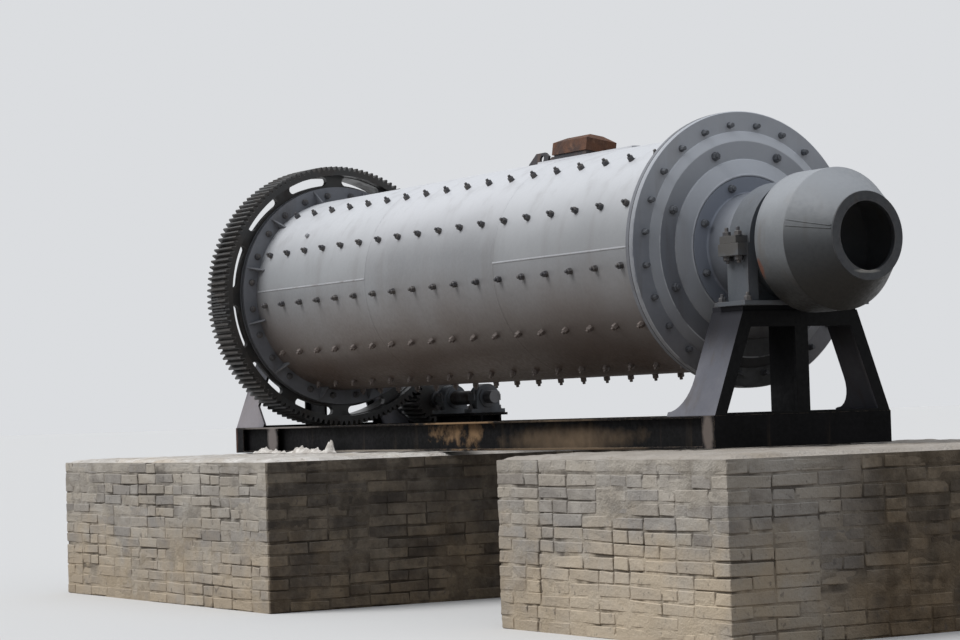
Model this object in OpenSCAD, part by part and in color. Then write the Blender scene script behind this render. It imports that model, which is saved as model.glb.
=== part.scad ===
// Overflow ball mill on two brick piers: a rolled drum on hollow trunnions, driven by a girth gear.
// +X points to the feed end, +Z up. The origin is on the ground at the middle of the piers' outline.

/* [Drum shell] */
// Bore of the drum shell, the mill's nominal diameter
shell_bore = 1200; // [1100:10:1300]
// Plate thickness of the shell
shell_wall = 12; // [8:1:20]
// Length of the shell between its two head joints
shell_l = 4360; // [4200:20:5000]
// Width of the shell flanges beyond the shell plate
shell_flange_w = 93; // [85:1:100]
// Thickness of the shell flanges
shell_flange_t = 28; // [20:1:36]
// Gusset plates round the drive-end flange
gusset_count = 12; // [8:1:16]
// Length of each gusset along the shell
gusset_l = 80; // [50:5:110]
// Thickness of each gusset
gusset_t = 10; // [6:1:16]

/* [Heads and trunnions] */
// Thickness of the head's outer flange
head_flange_t = 30; // [24:1:40]
// Height of the dish's outer step over the flange
dish_step = 20; // [14:1:26]
// Width of each sloping step of the dish
dish_slope_w = 52; // [44:1:60]
// Height of the trunnion's seat in the dish over the head joint
head_rise = 54; // [46:1:70]
// Radius of the trunnion journals
journal_r = 240; // [225:1:250]
// Radius of the bore through the trunnions
trunnion_bore_r = 180; // [150:1:195]
// Distance from the head joint to the middle of the bearing
bearing_reach = 390; // [380:1:400]
// Bolts that a discharge screen is fixed with
discharge_bolts = 8; // [6:1:12]
// Radius of those bolt holes
discharge_hole_r = 9; // [7:0.5:12]

/* [Girth gear and pinion] */
// Gear module
gear_module = 12; // [11.8:0.1:12.2]
// Teeth of the girth gear
gear_teeth = 138; // [136:2:140]
// Teeth of the pinion
pinion_teeth = 24; // [22:1:26]
// Face width of the girth gear
gear_width = 256; // [220:2:260]
// Play between the teeth at the pitch line
backlash = 1.2; // [0.8:0.1:2]
// Spokes of the gear web
spokes = 12; // [8:1:16]
// Thickness of the gear web
web_t = 40; // [30:1:50]
// Radius of the pinion shaft in its bearings
shaft_r = 45; // [35:1:55]
// Radius of the shaft's free end, where the coupling clamps
shaft_end_r = 42; // [30:1:44]
// Length of the shaft's free end
shaft_end_l = 86; // [60:1:140]

/* [Feeder] */
// Outer radius of the feeder barrel
feeder_r = 349; // [320:1:380]
// Length of the feeder barrel
feeder_barrel_l = 226; // [160:2:280]
// Length of the cone in front of the barrel
feeder_cone_l = 199; // [150:1:260]
// Radius of the feed mouth
mouth_r = 167; // [140:1:175]
// Plate thickness of the feeder
feeder_wall = 8; // [6:1:12]

/* [Manhole] */
// Length of the doubling plate under the manhole
pad_l = 946; // [900:2:980]
// Width of the doubling plate
pad_w = 260; // [240:2:280]
// Length of the opening along the shell
manhole_l = 300; // [260:5:320]
// Width of the opening
manhole_w = 150; // [120:5:170]
// Height of the manhole neck over the shell's crown
neck_h = 38; // [30:1:60]
// Height of the cover's rim
cover_rim_h = 70; // [50:1:80]
// Height of the cover's sloping top
cover_top_h = 32; // [20:1:50]

/* [Frame and pedestals] */
// Height of the long beams
beam_h = 160; // [140:10:180]
// Width of the beam flanges
beam_w = 88; // [78:2:94]
// Half of the frame's width over the beams
frame_half_w = 550; // [545:1:560]
// Distance from the middle of a bearing to the frame's end
frame_end_reach = 66; // [62:1:90]
// Height of the drum's axis over the beams
axis_over_beam = 839; // [835:1:860]
// Half of the pedestal's width at its top
pedestal_top_y = 355; // [340:1:375]
// Thickness of the pedestal plates
plate_t = 16; // [12:1:20]
// Length of the feed pedestal at its top
feed_pedestal_l = 255; // [230:5:280]
// Length of the drive pedestal at its top
drive_pedestal_l = 222; // [170:2:224]

/* [Brick piers] */
// Height of one brick course with its joint
course_h = 63; // [60:1:70]
// Courses in each pier
courses = 13; // [12:1:15]
// Mortar on top of the piers
mortar_cap_h = 26; // [15:1:40]
// Length of the feed pier
feed_pier_l = 1890; // [1760:10:2100]
// Half of the feed pier's width
feed_pier_y = 1375; // [1250:5:1500]
// Length of the drive pier
drive_pier_l = 2845; // [2800:5:3000]
// Half of the drive pier's width
drive_pier_y = 1700; // [1600:10:1800]

/* [Hidden] */
// Places along the mill are counted from the drum's middle, which stands mill_x from the origin.
shell_r = shell_bore / 2 + shell_wall;
flange_r = shell_r + shell_flange_w;
joint_x = shell_l / 2;
bearing_x = joint_x + bearing_reach;
frame_half_l = bearing_x + frame_end_reach;
feed_pier_under = 684;
drive_pier_over = 112;
drive_pier_x = -frame_half_l - drive_pier_over;
feed_pier_x = frame_half_l - feed_pier_under;
mill_x = -(drive_pier_x + feed_pier_x + feed_pier_l) / 2;
brick_h = course_h * courses;
pier_h = brick_h + mortar_cap_h;
axis_z = pier_h + beam_h + axis_over_beam;

// Girth gear and pinion
pressure_angle = 20;
gear_pitch_r = gear_module * gear_teeth / 2;
pinion_pitch_r = gear_module * pinion_teeth / 2;
gear_tip_r = gear_pitch_r + gear_module;
gear_root_r = gear_pitch_r - 1.25 * gear_module;
rim_t = 2.6 * gear_module;
rim_r = gear_root_r - rim_t;
bed_gap = 12.308;
bed_half_y = 125;
mesh_angle = acos((frame_half_w + bed_gap + bed_half_y) / (gear_pitch_r + pinion_pitch_r));
pinion_y = (gear_pitch_r + pinion_pitch_r) * cos(mesh_angle);
pinion_z = -(gear_pitch_r + pinion_pitch_r) * sin(mesh_angle);
gear_reach = 98;
gear_x = -joint_x - gear_reach;
web_x = -joint_x - head_flange_t;
pinion_l = gear_width + 14;
pinion_seat_r = shaft_r + 12;
running_gap = 0.06;

// Heads: the dish seats the trunnion flange in a recess
head_bore_r = 255;
dish_r = flange_r - 102;
recess_r = 368;
recess_depth = 28;
trunnion_flange_t = 30;
neck_r = journal_r + 45;

// Trunnion bearings
bearing_half_l = 85;
bush_t = 25;
seat_r = journal_r + bush_t;
cap_r = journal_r + 75;
cap_t = 30;
bearing_half_y = cap_r + 70;
foot_half_x = 125;
foot_t = 22;
deck_t = 24;
deck_z = -306;
seal_gap = 3;
trunnion_tail_l = 170;
discharge_l = 165;
lug_h = 60;
lug_half_x = 82;
cap_lug_h = 38;
cap_lug_half_x = 66;
trunnion_end_x = bearing_x + trunnion_tail_l;

// Pedestals
pedestal_foot_y = frame_half_w - 5;
feed_flare_l = 150;
feed_flare_h = 170;
drive_flare_l = 165;
drive_flare_h = 124;
base_plate_t = 12;
leg_w = 75;
leg_drop = deck_z - deck_t + axis_over_beam;

// Pinion bearings
block_half_l = 45;
block_half_y = 100;
block_drop = 100;
block_r = 85;
block_foot_t = 25;
block_foot_y = 125;
seal_l = 8;
straddle = 330;
outboard_x = gear_x - straddle;
inboard_x = gear_x + straddle;
block_spacing = 409;
end_block_x = inboard_x + block_spacing;
shaft_end_x = end_block_x + block_half_l + shaft_end_l;
bed_h = axis_z + pinion_z - block_drop - pier_h;
bed_plate_t = 16;
bed_wall_y = 70;
bed_wall_t = 14;
bed_margin = 75;

// Manhole between two rows of liner bolts, a little past the top
manhole_x = 590;
manhole_angle = 98.6;
pad_x = 793;
pad_t = 14;
neck_wall = 15;
cover_overhang = 10;
cover_slope = 56;
bracket_x = 110;
bracket_l = 205;
bracket_h = 76;
bracket_t = 14;
fine = 180;
medium = 96;

// Moves a child from the drum's own frame, with its origin at the middle of the axis, to its place
module on_mill() translate([mill_x, 0, axis_z]) children();

// Stands a child modelled along +Z at a place along the axis, pointing to the feed end
module along_axis(x) on_mill() translate([x, 0, 0]) rotate([0, 90, 0]) children();

// Copies a child to the drive end when asked for, by mirroring about the drum's middle
module at_end(feed) on_mill() mirror([feed ? 0 : 1, 0, 0]) children();

// Turns a profile of [radius, distance along the axis] into a solid round the X axis
module turned(profile, sides = fine) rotate([0, 90, 0]) rotate_extrude($fn = sides) polygon(profile);

// A ring round the X axis between two places
module ring(outer, inner, x0, x1, sides = fine)
    turned([[inner, x0], [outer, x0], [outer, x1], [inner, x1]], sides);

// Places a child at an angle up from the near side, with +Z pointing outwards
module radial(angle) rotate([90 - angle, 0, 0]) children();

// A box given by its two corners
module block(low, high) translate(low) cube(high - low);

// Brick piers

module pier(x0, length, half_y)
    translate([mill_x + x0, -half_y, 0]) cube([length, 2 * half_y, brick_h]);

// Mortar skim with sloping edges over the whole pier
module pier_mortar(x0, length, half_y) {
    edge = mortar_cap_h * 0.8;
    translate([mill_x + x0, 0, brick_h]) rotate([90, 0, 90]) linear_extrude(length)
        polygon([[-half_y, 0], [half_y, 0], [half_y - edge, mortar_cap_h], [edge - half_y, mortar_cap_h]]);
}

module feed_pier() color("lightslategray") pier(feed_pier_x, feed_pier_l, feed_pier_y);
module feed_pier_mortar() color("gainsboro") pier_mortar(feed_pier_x, feed_pier_l, feed_pier_y);
module drive_pier() color("lightslategray") pier(drive_pier_x, drive_pier_l, drive_pier_y);
module drive_pier_mortar() color("gainsboro") pier_mortar(drive_pier_x, drive_pier_l, drive_pier_y);

// Base frame of rolled beams

beam_flange_t = 10;
beam_web_t = 7;
end_channel_t = 8;
end_channel_w = 70;
tie_inset = 880;
tie_x = joint_x - tie_inset;
stiffener_t = 8;
end_stiffener_w = 94;
end_stiffener_inset = 50;
gear_stiffener_w = 150;
gear_stiffener_gap = 40;
beam_y = frame_half_w - beam_w / 2;

// Section of an I-beam standing on y = 0
module beam_section() {
    translate([-beam_w / 2, 0]) square([beam_w, beam_flange_t]);
    translate([-beam_w / 2, beam_h - beam_flange_t]) square([beam_w, beam_flange_t]);
    translate([-beam_web_t / 2, 0]) square([beam_web_t, beam_h]);
}

// A plate that closes the outer side of the beam, tied to its web by a rib
module stiffener(x, width) {
    half = width / 2;
    inner_y = beam_w / 2 - stiffener_t;
    block([x - half, inner_y, beam_flange_t], [x + half, beam_w / 2, beam_h - beam_flange_t]);
    block([x - stiffener_t / 2, beam_web_t / 2, beam_flange_t],
        [x + stiffener_t / 2, inner_y, beam_h - beam_flange_t]);
}

// A long beam; its outer side is +Y before it is placed
module long_beam() {
    half = frame_half_l - end_channel_t;
    union() {
        translate([-half, 0, 0]) rotate([90, 0, 90]) linear_extrude(2 * half) beam_section();
        stiffener(half - end_stiffener_inset, end_stiffener_w);
        stiffener(gear_x + gear_width / 2 + gear_stiffener_gap, gear_stiffener_w);
        stiffener(-half + end_stiffener_inset, end_stiffener_w);
    }
}

module near_beam() color("dimgray") translate([mill_x, -beam_y, pier_h]) mirror([0, 1, 0]) long_beam();
module far_beam() color("dimgray") translate([mill_x, beam_y, pier_h]) long_beam();

// A channel across the beam ends, its flat side outwards
module end_beam(feed) {
    inner_y = frame_half_w - beam_w;
    outer = frame_half_l;
    inner = frame_half_l - end_channel_w;
    translate([mill_x, 0, pier_h]) mirror([feed ? 0 : 1, 0, 0]) {
        block([outer - end_channel_t, -frame_half_w, 0], [outer, frame_half_w, beam_h]);
        for (z = [0, beam_h - beam_flange_t])
            block([inner, -inner_y, z], [outer - end_channel_t, inner_y, z + beam_flange_t]);
    }
}

module feed_end_beam() color("dimgray") end_beam(true);
module drive_end_beam() color("dimgray") end_beam(false);

// Two ties between the beams, as channels laid between their flanges
module inner_ties() color("dimgray") for (x = [-tie_x, tie_x]) translate([mill_x + x, 0, pier_h]) {
    web_y = beam_y - beam_web_t / 2;
    block([0, -web_y, beam_flange_t], [end_channel_t, web_y, beam_h - beam_flange_t]);
    for (z = [beam_flange_t, beam_h - 2 * beam_flange_t])
        block([end_channel_t, -web_y, z], [end_channel_w, web_y, z + beam_flange_t]);
}

// Welded pedestals

leg_slope = (pedestal_foot_y - pedestal_top_y) / leg_drop;
leg_angle = atan(leg_slope);
slant = leg_drop / cos(leg_angle);

// Side plate: straight at the outer end, with a flare towards the drum at its foot, hollow or straight
module side_plate(length, reach, height, hollow, toe = 24) linear_extrude(plate_t)
    polygon(concat([[frame_half_l, 0], [frame_half_l, 1.1 * slant], [frame_half_l - length, 1.1 * slant]],
        hollow ? [for (i = [8:-1:0]) [frame_half_l - length - reach * (1 - sin(11.25 * i)),
            toe + height * (1 - cos(11.25 * i))]]
            : [[frame_half_l - length, toe + height], [frame_half_l - length - reach, toe]],
        [[frame_half_l - length - reach, 0]]));

// A leaning side plate on the near side
module leaning_plate(length, reach, height, hollow)
    translate([0, -pedestal_foot_y, -axis_over_beam]) rotate([90 - leg_angle, 0, 0])
        translate([0, 0, -plate_t]) side_plate(length, reach, height, hollow);

// End frame seen from outside: two leaning legs, a centre leg and a top beam
module end_frame() {
    head = 80;
    window_top = leg_drop - head;
    foot_in = pedestal_foot_y - leg_w;
    top_in = pedestal_foot_y - leg_slope * window_top - leg_w;
    difference() {
        polygon([[-pedestal_foot_y, 0], [pedestal_foot_y, 0], [pedestal_top_y, leg_drop],
            [-pedestal_top_y, leg_drop]]);
        for (side = [-1, 1]) polygon([[side * 40, base_plate_t], [side * foot_in, base_plate_t],
            [side * top_in, window_top], [side * 40, window_top]]);
    }
}

module pedestal(length, reach, height, hollow) union() {
    intersection() {
        for (side = [0, 1]) mirror([0, side, 0]) leaning_plate(length, reach, height, hollow);
        block([0, -frame_half_w, -axis_over_beam], [frame_half_l, frame_half_w, deck_z - deck_t]);
    }
    translate([frame_half_l - plate_t, 0, -axis_over_beam]) rotate([90, 0, 90])
        linear_extrude(plate_t) end_frame();
    inner = frame_half_l - length;
    block([inner, -plate_t / 2, -axis_over_beam], [frame_half_l - plate_t, plate_t / 2, deck_z - deck_t]);
    block([inner, -pedestal_top_y + 4, deck_z - deck_t], [frame_half_l - 6, pedestal_top_y - 4, deck_z]);
}

module feed_pedestal() color("slategray") at_end(true)
    pedestal(feed_pedestal_l, feed_flare_l, feed_flare_h, true);
module drive_pedestal() color("slategray") at_end(false)
    pedestal(drive_pedestal_l, drive_flare_l, drive_flare_h, false);

// Split trunnion bearings

// Lower casting: foot, web with two columns, seat ring and bolt lugs
module bearing_base() difference() {
    column_y = cap_r + 15;
    translate([bearing_x, 0, 0]) union() {
        block([-foot_half_x, -bearing_half_y, deck_z], [foot_half_x, bearing_half_y, deck_z + foot_t]);
        block([-35, -column_y, deck_z + foot_t], [35, column_y, 0]);
        for (side = [0, 1]) mirror([0, side, 0]) {
            block([-bearing_half_l, -column_y, deck_z + foot_t], [bearing_half_l, -column_y + 60, 0]);
            block([-lug_half_x, -bearing_half_y, -lug_h], [lug_half_x, -column_y, 0]);
        }
        intersection() {
            rotate([0, 90, 0]) cylinder(r = seat_r + 30, h = 2 * bearing_half_l, center = true, $fn = medium);
            block([-bearing_half_l, -column_y, deck_z + foot_t], [bearing_half_l, column_y, 0]);
        }
    }
    translate([bearing_x, 0, 0]) rotate([0, 90, 0])
        cylinder(r = seat_r, h = 3 * bearing_half_l, center = true, $fn = medium);
}

// Half bush that carries the journal
module bearing_bush() translate([bearing_x, 0, 0]) difference() {
    ring(seat_r, journal_r + running_gap, -bearing_half_l, bearing_half_l, medium);
    block([-2 * bearing_half_l, -2 * seat_r, 0], [2 * bearing_half_l, 2 * seat_r, 2 * seat_r]);
}

// Half-round cap with closed sides and bolt lugs
module bearing_cap() translate([bearing_x, 0, 0]) difference() {
    union() {
        ring(cap_r, journal_r + seal_gap, -bearing_half_l, bearing_half_l, medium);
        block([-cap_lug_half_x, -bearing_half_y, 0], [cap_lug_half_x, bearing_half_y, cap_lug_h]);
    }
    ring(cap_r - cap_t, journal_r - 20, -bearing_half_l + 14, bearing_half_l - 14, medium);
    rotate([0, 90, 0])
        cylinder(r = journal_r + seal_gap, h = 3 * bearing_half_l, center = true, $fn = medium);
    block([-2 * bearing_half_l, -2 * cap_r, -2 * cap_r], [2 * bearing_half_l, 2 * cap_r, 0]);
}

module feed_bearing_base() color("slategray") at_end(true) bearing_base();
module feed_bearing_bush() color("darkgoldenrod") at_end(true) bearing_bush();
module feed_bearing_cap() color("lightslategray") at_end(true) bearing_cap();
module drive_bearing_base() color("slategray") at_end(false) bearing_base();
module drive_bearing_bush() color("darkgoldenrod") at_end(false) bearing_bush();
module drive_bearing_cap() color("lightslategray") at_end(false) bearing_cap();

// Pinion bearings on their welded beds

// A stool from one place to another: top plate, side walls and a rib under each block
module stool(x0, x1, ribs) {
    block([x0, -bed_half_y, bed_h - bed_plate_t], [x1, bed_half_y, bed_h]);
    for (side = [-1, 1]) block([x0, side * bed_wall_y - bed_wall_t / 2, bed_plate_t],
        [x1, side * bed_wall_y + bed_wall_t / 2, bed_h - bed_plate_t]);
    for (x = ribs) block([x - bed_wall_t / 2, -bed_half_y + 8, bed_plate_t],
        [x + bed_wall_t / 2, bed_half_y - 8, bed_h - bed_plate_t]);
}

// Sole plate under the whole pinion line, with a stool at each side of the gear
module pinion_bed() color("dimgray") translate([mill_x, pinion_y, pier_h]) union() {
    block([outboard_x - bed_margin, -bed_half_y, 0], [end_block_x + bed_margin, bed_half_y, bed_plate_t]);
    stool(outboard_x - bed_margin, outboard_x + bed_margin, [outboard_x]);
    stool(inboard_x - bed_margin, end_block_x + bed_margin, [inboard_x, end_block_x]);
}

// Pillow block with a round top, a split line and seal rings
module pillow_block(x) on_mill() translate([x, pinion_y, pinion_z]) difference() {
    union() {
        block([-block_half_l, -block_foot_y, -block_drop],
            [block_half_l, block_foot_y, block_foot_t - block_drop]);
        block([-block_half_l, -block_r, -block_drop], [block_half_l, block_r, 0]);
        rotate([0, 90, 0]) cylinder(r = block_r, h = 2 * block_half_l, center = true, $fn = medium);
        block([-block_half_l + 8, -block_half_y, -22], [block_half_l - 8, block_half_y, 18]);
        rotate([0, 90, 0])
            cylinder(r = shaft_r + 20, h = 2 * (block_half_l + seal_l), center = true, $fn = medium);
    }
    rotate([0, 90, 0])
        cylinder(r = shaft_r + running_gap, h = 4 * block_half_l, center = true, $fn = medium);
}

module outboard_block() color("lightslategray") pillow_block(outboard_x);
module inboard_block() color("lightslategray") pillow_block(inboard_x);
module end_block() color("lightslategray") pillow_block(end_block_x);

// Drum shell

neck_l = manhole_l + 2 * neck_wall;
neck_w = manhole_w + 2 * neck_wall;

// The manhole's frame of reference: +Z outwards through its middle, at a place along the shell
module at_manhole(x = manhole_x) translate([x, 0, 0]) radial(manhole_angle) children();

// A box of a length and width over the middle of the manhole, between two heights over the drum's axis
module manhole_box(length, width, low, high)
    block([-length / 2, -width / 2, low], [length / 2, width / 2, high]);

module shell() color("gray") on_mill() difference() {
    ring(shell_r, shell_bore / 2, -joint_x, joint_x);
    at_manhole() manhole_box(manhole_l, manhole_w, shell_r / 2, shell_r * 1.2);
}

module feed_shell_flange() color("slategray") on_mill()
    ring(flange_r, shell_r, joint_x - shell_flange_t, joint_x);

// Drive-end flange, which also carries the gear, with a gusset plate between every two bolts
module drive_shell_flange() color("slategray") on_mill() union() {
    ring(flange_r, shell_r, -joint_x, shell_flange_t - joint_x);
    difference() {
        for (i = [0:gusset_count - 1]) radial(15 + 360 * i / gusset_count)
            translate([shell_flange_t - joint_x, gusset_t / 2, 0]) rotate([90, 0, 0]) linear_extrude(gusset_t)
                polygon([[-1, shell_r - 10], [gusset_l, shell_r - 10], [gusset_l, shell_r + 6],
                    [-1, flange_r - 6]]);
        rotate([0, 90, 0]) cylinder(r = shell_r, h = 2 * shell_l, center = true, $fn = fine);
    }
}

// Heads

// A sloping step of the dish, inwards from a radius, with a small bevel at its foot and its head
function dish_slope(r, low, high, widths = 1) = let (w = widths * dish_slope_w, d = high - low)
    [[r, low], [r - 4, low + 0.18 * d], [r - w + 6, high - 0.1 * d], [r - w, high]];

// Half section of a head, from its spigot in the shell to the recess for the trunnion
function head_profile() = let (step_x = head_flange_t + dish_step, top_x = head_rise + trunnion_flange_t)
    concat([[head_bore_r, 0], [shell_bore / 2 - 42, 0], [shell_bore / 2 - 42, -30], [shell_bore / 2 - 2, -30],
        [shell_bore / 2 - 2, 0], [flange_r, 0], [flange_r, head_flange_t - 4], [flange_r - 4, head_flange_t]],
        dish_slope(dish_r, head_flange_t, step_x),
        dish_slope(recess_r + 8 + 1.6 * dish_slope_w, step_x, top_x, 1.6),
        [[recess_r, top_x], [recess_r, top_x - recess_depth], [head_bore_r, top_x - recess_depth]]);

module head() translate([joint_x, 0, 0]) turned(head_profile());

module feed_head() color("slategray") at_end(true) head();
module drive_head() color("slategray") at_end(false) head();

// Trunnions

// Half section of a trunnion up to the end of its journal; the tail differs between the ends
function trunnion_profile(tail) = concat(
    [[trunnion_bore_r, -30], [head_bore_r - 1, -30], [head_bore_r - 1, head_rise + 2],
     [recess_r - 2, head_rise + 2], [recess_r - 2, head_rise + trunnion_flange_t - 2],
     [recess_r - 4, head_rise + trunnion_flange_t], [neck_r + 4, head_rise + trunnion_flange_t],
     [neck_r, head_rise + trunnion_flange_t + 4], [neck_r - 1, head_rise + 46]],
    [for (i = [0:6]) [journal_r + 18 + (neck_r - journal_r - 19) * cos(15 * i),
        head_rise + 46 + (bearing_reach - bearing_half_l - 34 - head_rise - 46) * sin(15 * i)]],
    [[journal_r + 18, bearing_reach - bearing_half_l - 10], [journal_r, bearing_reach - bearing_half_l - 8],
     [journal_r, bearing_reach + bearing_half_l + 6]], tail, [[trunnion_bore_r, tail[len(tail) - 1][1]]]);

trunnion_tail_r = journal_r - 8;
discharge_flange_r = 290;
discharge_flange_t = 28;
discharge_end = bearing_reach + discharge_l;
discharge_pcd = 520;

module feed_trunnion() color("gray") at_end(true) translate([joint_x, 0, 0])
    turned(trunnion_profile([[trunnion_tail_r, bearing_reach + bearing_half_l + 12],
        [trunnion_tail_r, trunnion_end_x - joint_x]]));

module drive_trunnion() color("gray") at_end(false) translate([joint_x, 0, 0]) difference() {
    turned(trunnion_profile([[trunnion_tail_r, bearing_reach + bearing_half_l + 12],
        [trunnion_tail_r, discharge_end - discharge_flange_t],
        [discharge_flange_r, discharge_end - discharge_flange_t], [discharge_flange_r, discharge_end]]));
    for (i = [0:discharge_bolts - 1]) radial(360 * (i + 0.5) / discharge_bolts)
        translate([discharge_end - 2 * discharge_flange_t, 0, discharge_pcd / 2]) rotate([0, 90, 0])
            cylinder(r = discharge_hole_r, h = 3 * discharge_flange_t, $fn = 32);
}

// Girth gear and pinion

function involute(angle) = (tan(angle) - angle * PI / 180) * 180 / PI;

// Half of the angle that a tooth takes up at radius r
function half_tooth(r, teeth, pitch_r) = 90 / teeth - backlash / 4 / pitch_r * 180 / PI
    + involute(pressure_angle) - involute(acos(min(1, pitch_r * cos(pressure_angle) / r)));

// One tooth as [radius, angle] points, from root to tip and down again; its flanks are involutes
function tooth(teeth, pitch_r, steps = 3) =
    let (root = pitch_r - 1.25 * gear_module, tip = pitch_r + gear_module,
        start = max(root, pitch_r * cos(pressure_angle)),
        flank = [for (i = [0:steps]) start + (tip - start) * i / steps],
        up = concat(start > root + 0.01 ? [[root, -half_tooth(start, teeth, pitch_r)]] : [],
            [for (r = flank) [r, -half_tooth(r, teeth, pitch_r)]]))
    concat(up, [for (i = [len(up) - 1:-1:0]) [up[i][0], -up[i][1]]]);

function gear_outline(teeth, pitch_r) = [for (i = [0:teeth - 1], p = tooth(teeth, pitch_r))
    p[0] * [cos(p[1] + 360 * i / teeth), sin(p[1] + 360 * i / teeth)]];

// Toothed rim with one tooth pointing at the pinion
module girth_gear() color([0.22, 0.21, 0.2]) along_axis(gear_x) difference() {
    rotate([0, 0, mesh_angle]) linear_extrude(gear_width, center = true)
        polygon(gear_outline(gear_teeth, gear_pitch_r));
    cylinder(r = rim_r, h = 2 * gear_width, center = true, $fn = fine);
}

slot_r0 = flange_r + 17;
slot_r1 = rim_r - 4;
spoke_w = 112;

// One window between two spokes, with round ends
module web_slot() {
    end_r = (slot_r1 - slot_r0) / 2;
    middle_r = (slot_r1 + slot_r0) / 2;
    end_angle = 180 / spokes - asin((spoke_w / 2 + end_r) / middle_r);
    intersection() {
        difference() {
            cylinder(r = slot_r1, h = 3 * web_t, center = true, $fn = fine);
            cylinder(r = slot_r0, h = 4 * web_t, center = true, $fn = fine);
        }
        linear_extrude(2 * web_t, center = true)
            polygon([[0, 0], 1.3 * slot_r1 * [cos(end_angle), -sin(end_angle)],
                1.3 * slot_r1 * [cos(end_angle), sin(end_angle)]]);
    }
    for (a = [-end_angle, end_angle]) rotate([0, 0, a]) translate([middle_r, 0, 0])
        cylinder(r = end_r, h = 2 * web_t, center = true, $fn = 48);
}

// Web disc between the head flange and the rim, with windows between its spokes
module gear_web() color([0.22, 0.21, 0.2]) along_axis(web_x - web_t / 2) difference() {
    cylinder(r = rim_r, h = web_t, center = true, $fn = fine);
    cylinder(r = dish_r + 6, h = 2 * web_t, center = true, $fn = fine);
    for (i = [0:spokes - 1]) rotate([0, 0, (i + 0.5) * 360 / spokes]) web_slot();
}

module pinion() color([0.3, 0.29, 0.28]) on_mill() translate([gear_x, pinion_y, pinion_z]) rotate([0, 90, 0])
    difference() {
        rotate([0, 0, mesh_angle + 180 + 180 / pinion_teeth]) linear_extrude(pinion_l, center = true)
            polygon(gear_outline(pinion_teeth, pinion_pitch_r));
        cylinder(r = pinion_seat_r, h = 2 * pinion_l, center = true, $fn = medium);
    }

// Stepped shaft: journals, the thicker pinion seat and the free end past the last block
module pinion_shaft() color("silver") on_mill() translate([0, pinion_y, pinion_z])
    turned([[0, outboard_x - block_half_l - 14], [shaft_r - 3, outboard_x - block_half_l - 14],
        [shaft_r, outboard_x - block_half_l - 11], [shaft_r, gear_x - pinion_l / 2 - 30],
        [pinion_seat_r, gear_x - pinion_l / 2 - 30], [pinion_seat_r, gear_x + pinion_l / 2 + 30],
        [shaft_r, gear_x + pinion_l / 2 + 30], [shaft_r, end_block_x + block_half_l + seal_l],
        [shaft_end_r, end_block_x + block_half_l + seal_l], [shaft_end_r, shaft_end_x - 3],
        [shaft_end_r - 3, shaft_end_x], [0, shaft_end_x]], medium);

// Feeder on the feed trunnion

feeder_x = trunnion_end_x;
cone_x = feeder_x + feeder_barrel_l;
mouth_x = cone_x + feeder_cone_l;
cone_end_r = mouth_r + 48;
lip_depth = 14;

module feeder_back() color("gray") on_mill()
    ring(feeder_r, trunnion_bore_r + 2, feeder_x, feeder_x + 12);

module feeder_barrel() color("darkgray") on_mill()
    ring(feeder_r, feeder_r - feeder_wall, feeder_x + 12, cone_x);

module feeder_cone() color("darkgray") on_mill()
    turned([[feeder_r - feeder_wall, cone_x], [feeder_r, cone_x], [cone_end_r, mouth_x],
        [cone_end_r - feeder_wall, mouth_x]]);

// Flat plate on the end of the cone, and the ring that stiffens its hole
module feeder_mouth() color("dimgray") on_mill()
    ring(cone_end_r, mouth_r + feeder_wall, mouth_x, mouth_x + feeder_wall);

module feeder_lip() color("silver") on_mill()
    ring(mouth_r + feeder_wall, mouth_r, mouth_x - lip_depth, mouth_x + feeder_wall);

// Manhole

// Doubling plate rolled to the shell
module manhole_pad() color("lightgray") on_mill() difference() {
    intersection() {
        ring(shell_r + pad_t, shell_r, pad_x - pad_l / 2, pad_x + pad_l / 2);
        at_manhole(pad_x) manhole_box(pad_l, pad_w, shell_r / 2, shell_r * 1.2);
    }
    at_manhole() manhole_box(neck_l, neck_w, shell_r / 2, shell_r * 1.2);
}

// Neck round the opening; its lower edge follows the shell
module manhole_neck() color("dimgray") on_mill() difference() {
    at_manhole() difference() {
        manhole_box(neck_l, neck_w, shell_r - 40, shell_r + neck_h);
        manhole_box(manhole_l, manhole_w, 0, 2 * shell_r);
    }
    rotate([0, 90, 0]) cylinder(r = shell_r, h = shell_l, center = true, $fn = fine);
}

// Section of the cover across one of its widths: an upright rim under sloping sides and a flat top
module cover_section(width) {
    half = width / 2;
    polygon([[-half, 0], [half, 0], [half, cover_rim_h], [half - cover_slope, cover_rim_h + cover_top_h],
        [cover_slope - half, cover_rim_h + cover_top_h], [-half, cover_rim_h]]);
}

// Cover: a deep rim over the neck and a hipped top
module manhole_cover() color("saddlebrown") on_mill() at_manhole() translate([0, 0, shell_r + neck_h])
    intersection() {
    length = neck_l + 2 * cover_overhang;
    width = neck_w + 2 * cover_overhang;
    rotate([90, 0, 0]) linear_extrude(width, center = true) cover_section(length);
    rotate([90, 0, 90]) linear_extrude(length, center = true) cover_section(width);
}

// Two lug plates beside the cover, each with an eye
module manhole_lugs() color("lightslategray") on_mill() difference() {
    at_manhole(bracket_x) for (side = [-1, 1]) translate([0, side * 52 + bracket_t / 2, 0])
        rotate([90, 0, 0]) linear_extrude(bracket_t) difference() {
            polygon([[0, shell_r - 20], [bracket_l, shell_r - 20], [bracket_l, shell_r + bracket_h - 24],
                [bracket_l - 40, shell_r + bracket_h], [70, shell_r + bracket_h], [0, shell_r + 18]]);
            translate([bracket_l - 70, shell_r + bracket_h - 36]) circle(r = 20, $fn = 32);
        }
    rotate([0, 90, 0]) cylinder(r = shell_r, h = shell_l, center = true, $fn = fine);
}

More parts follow.
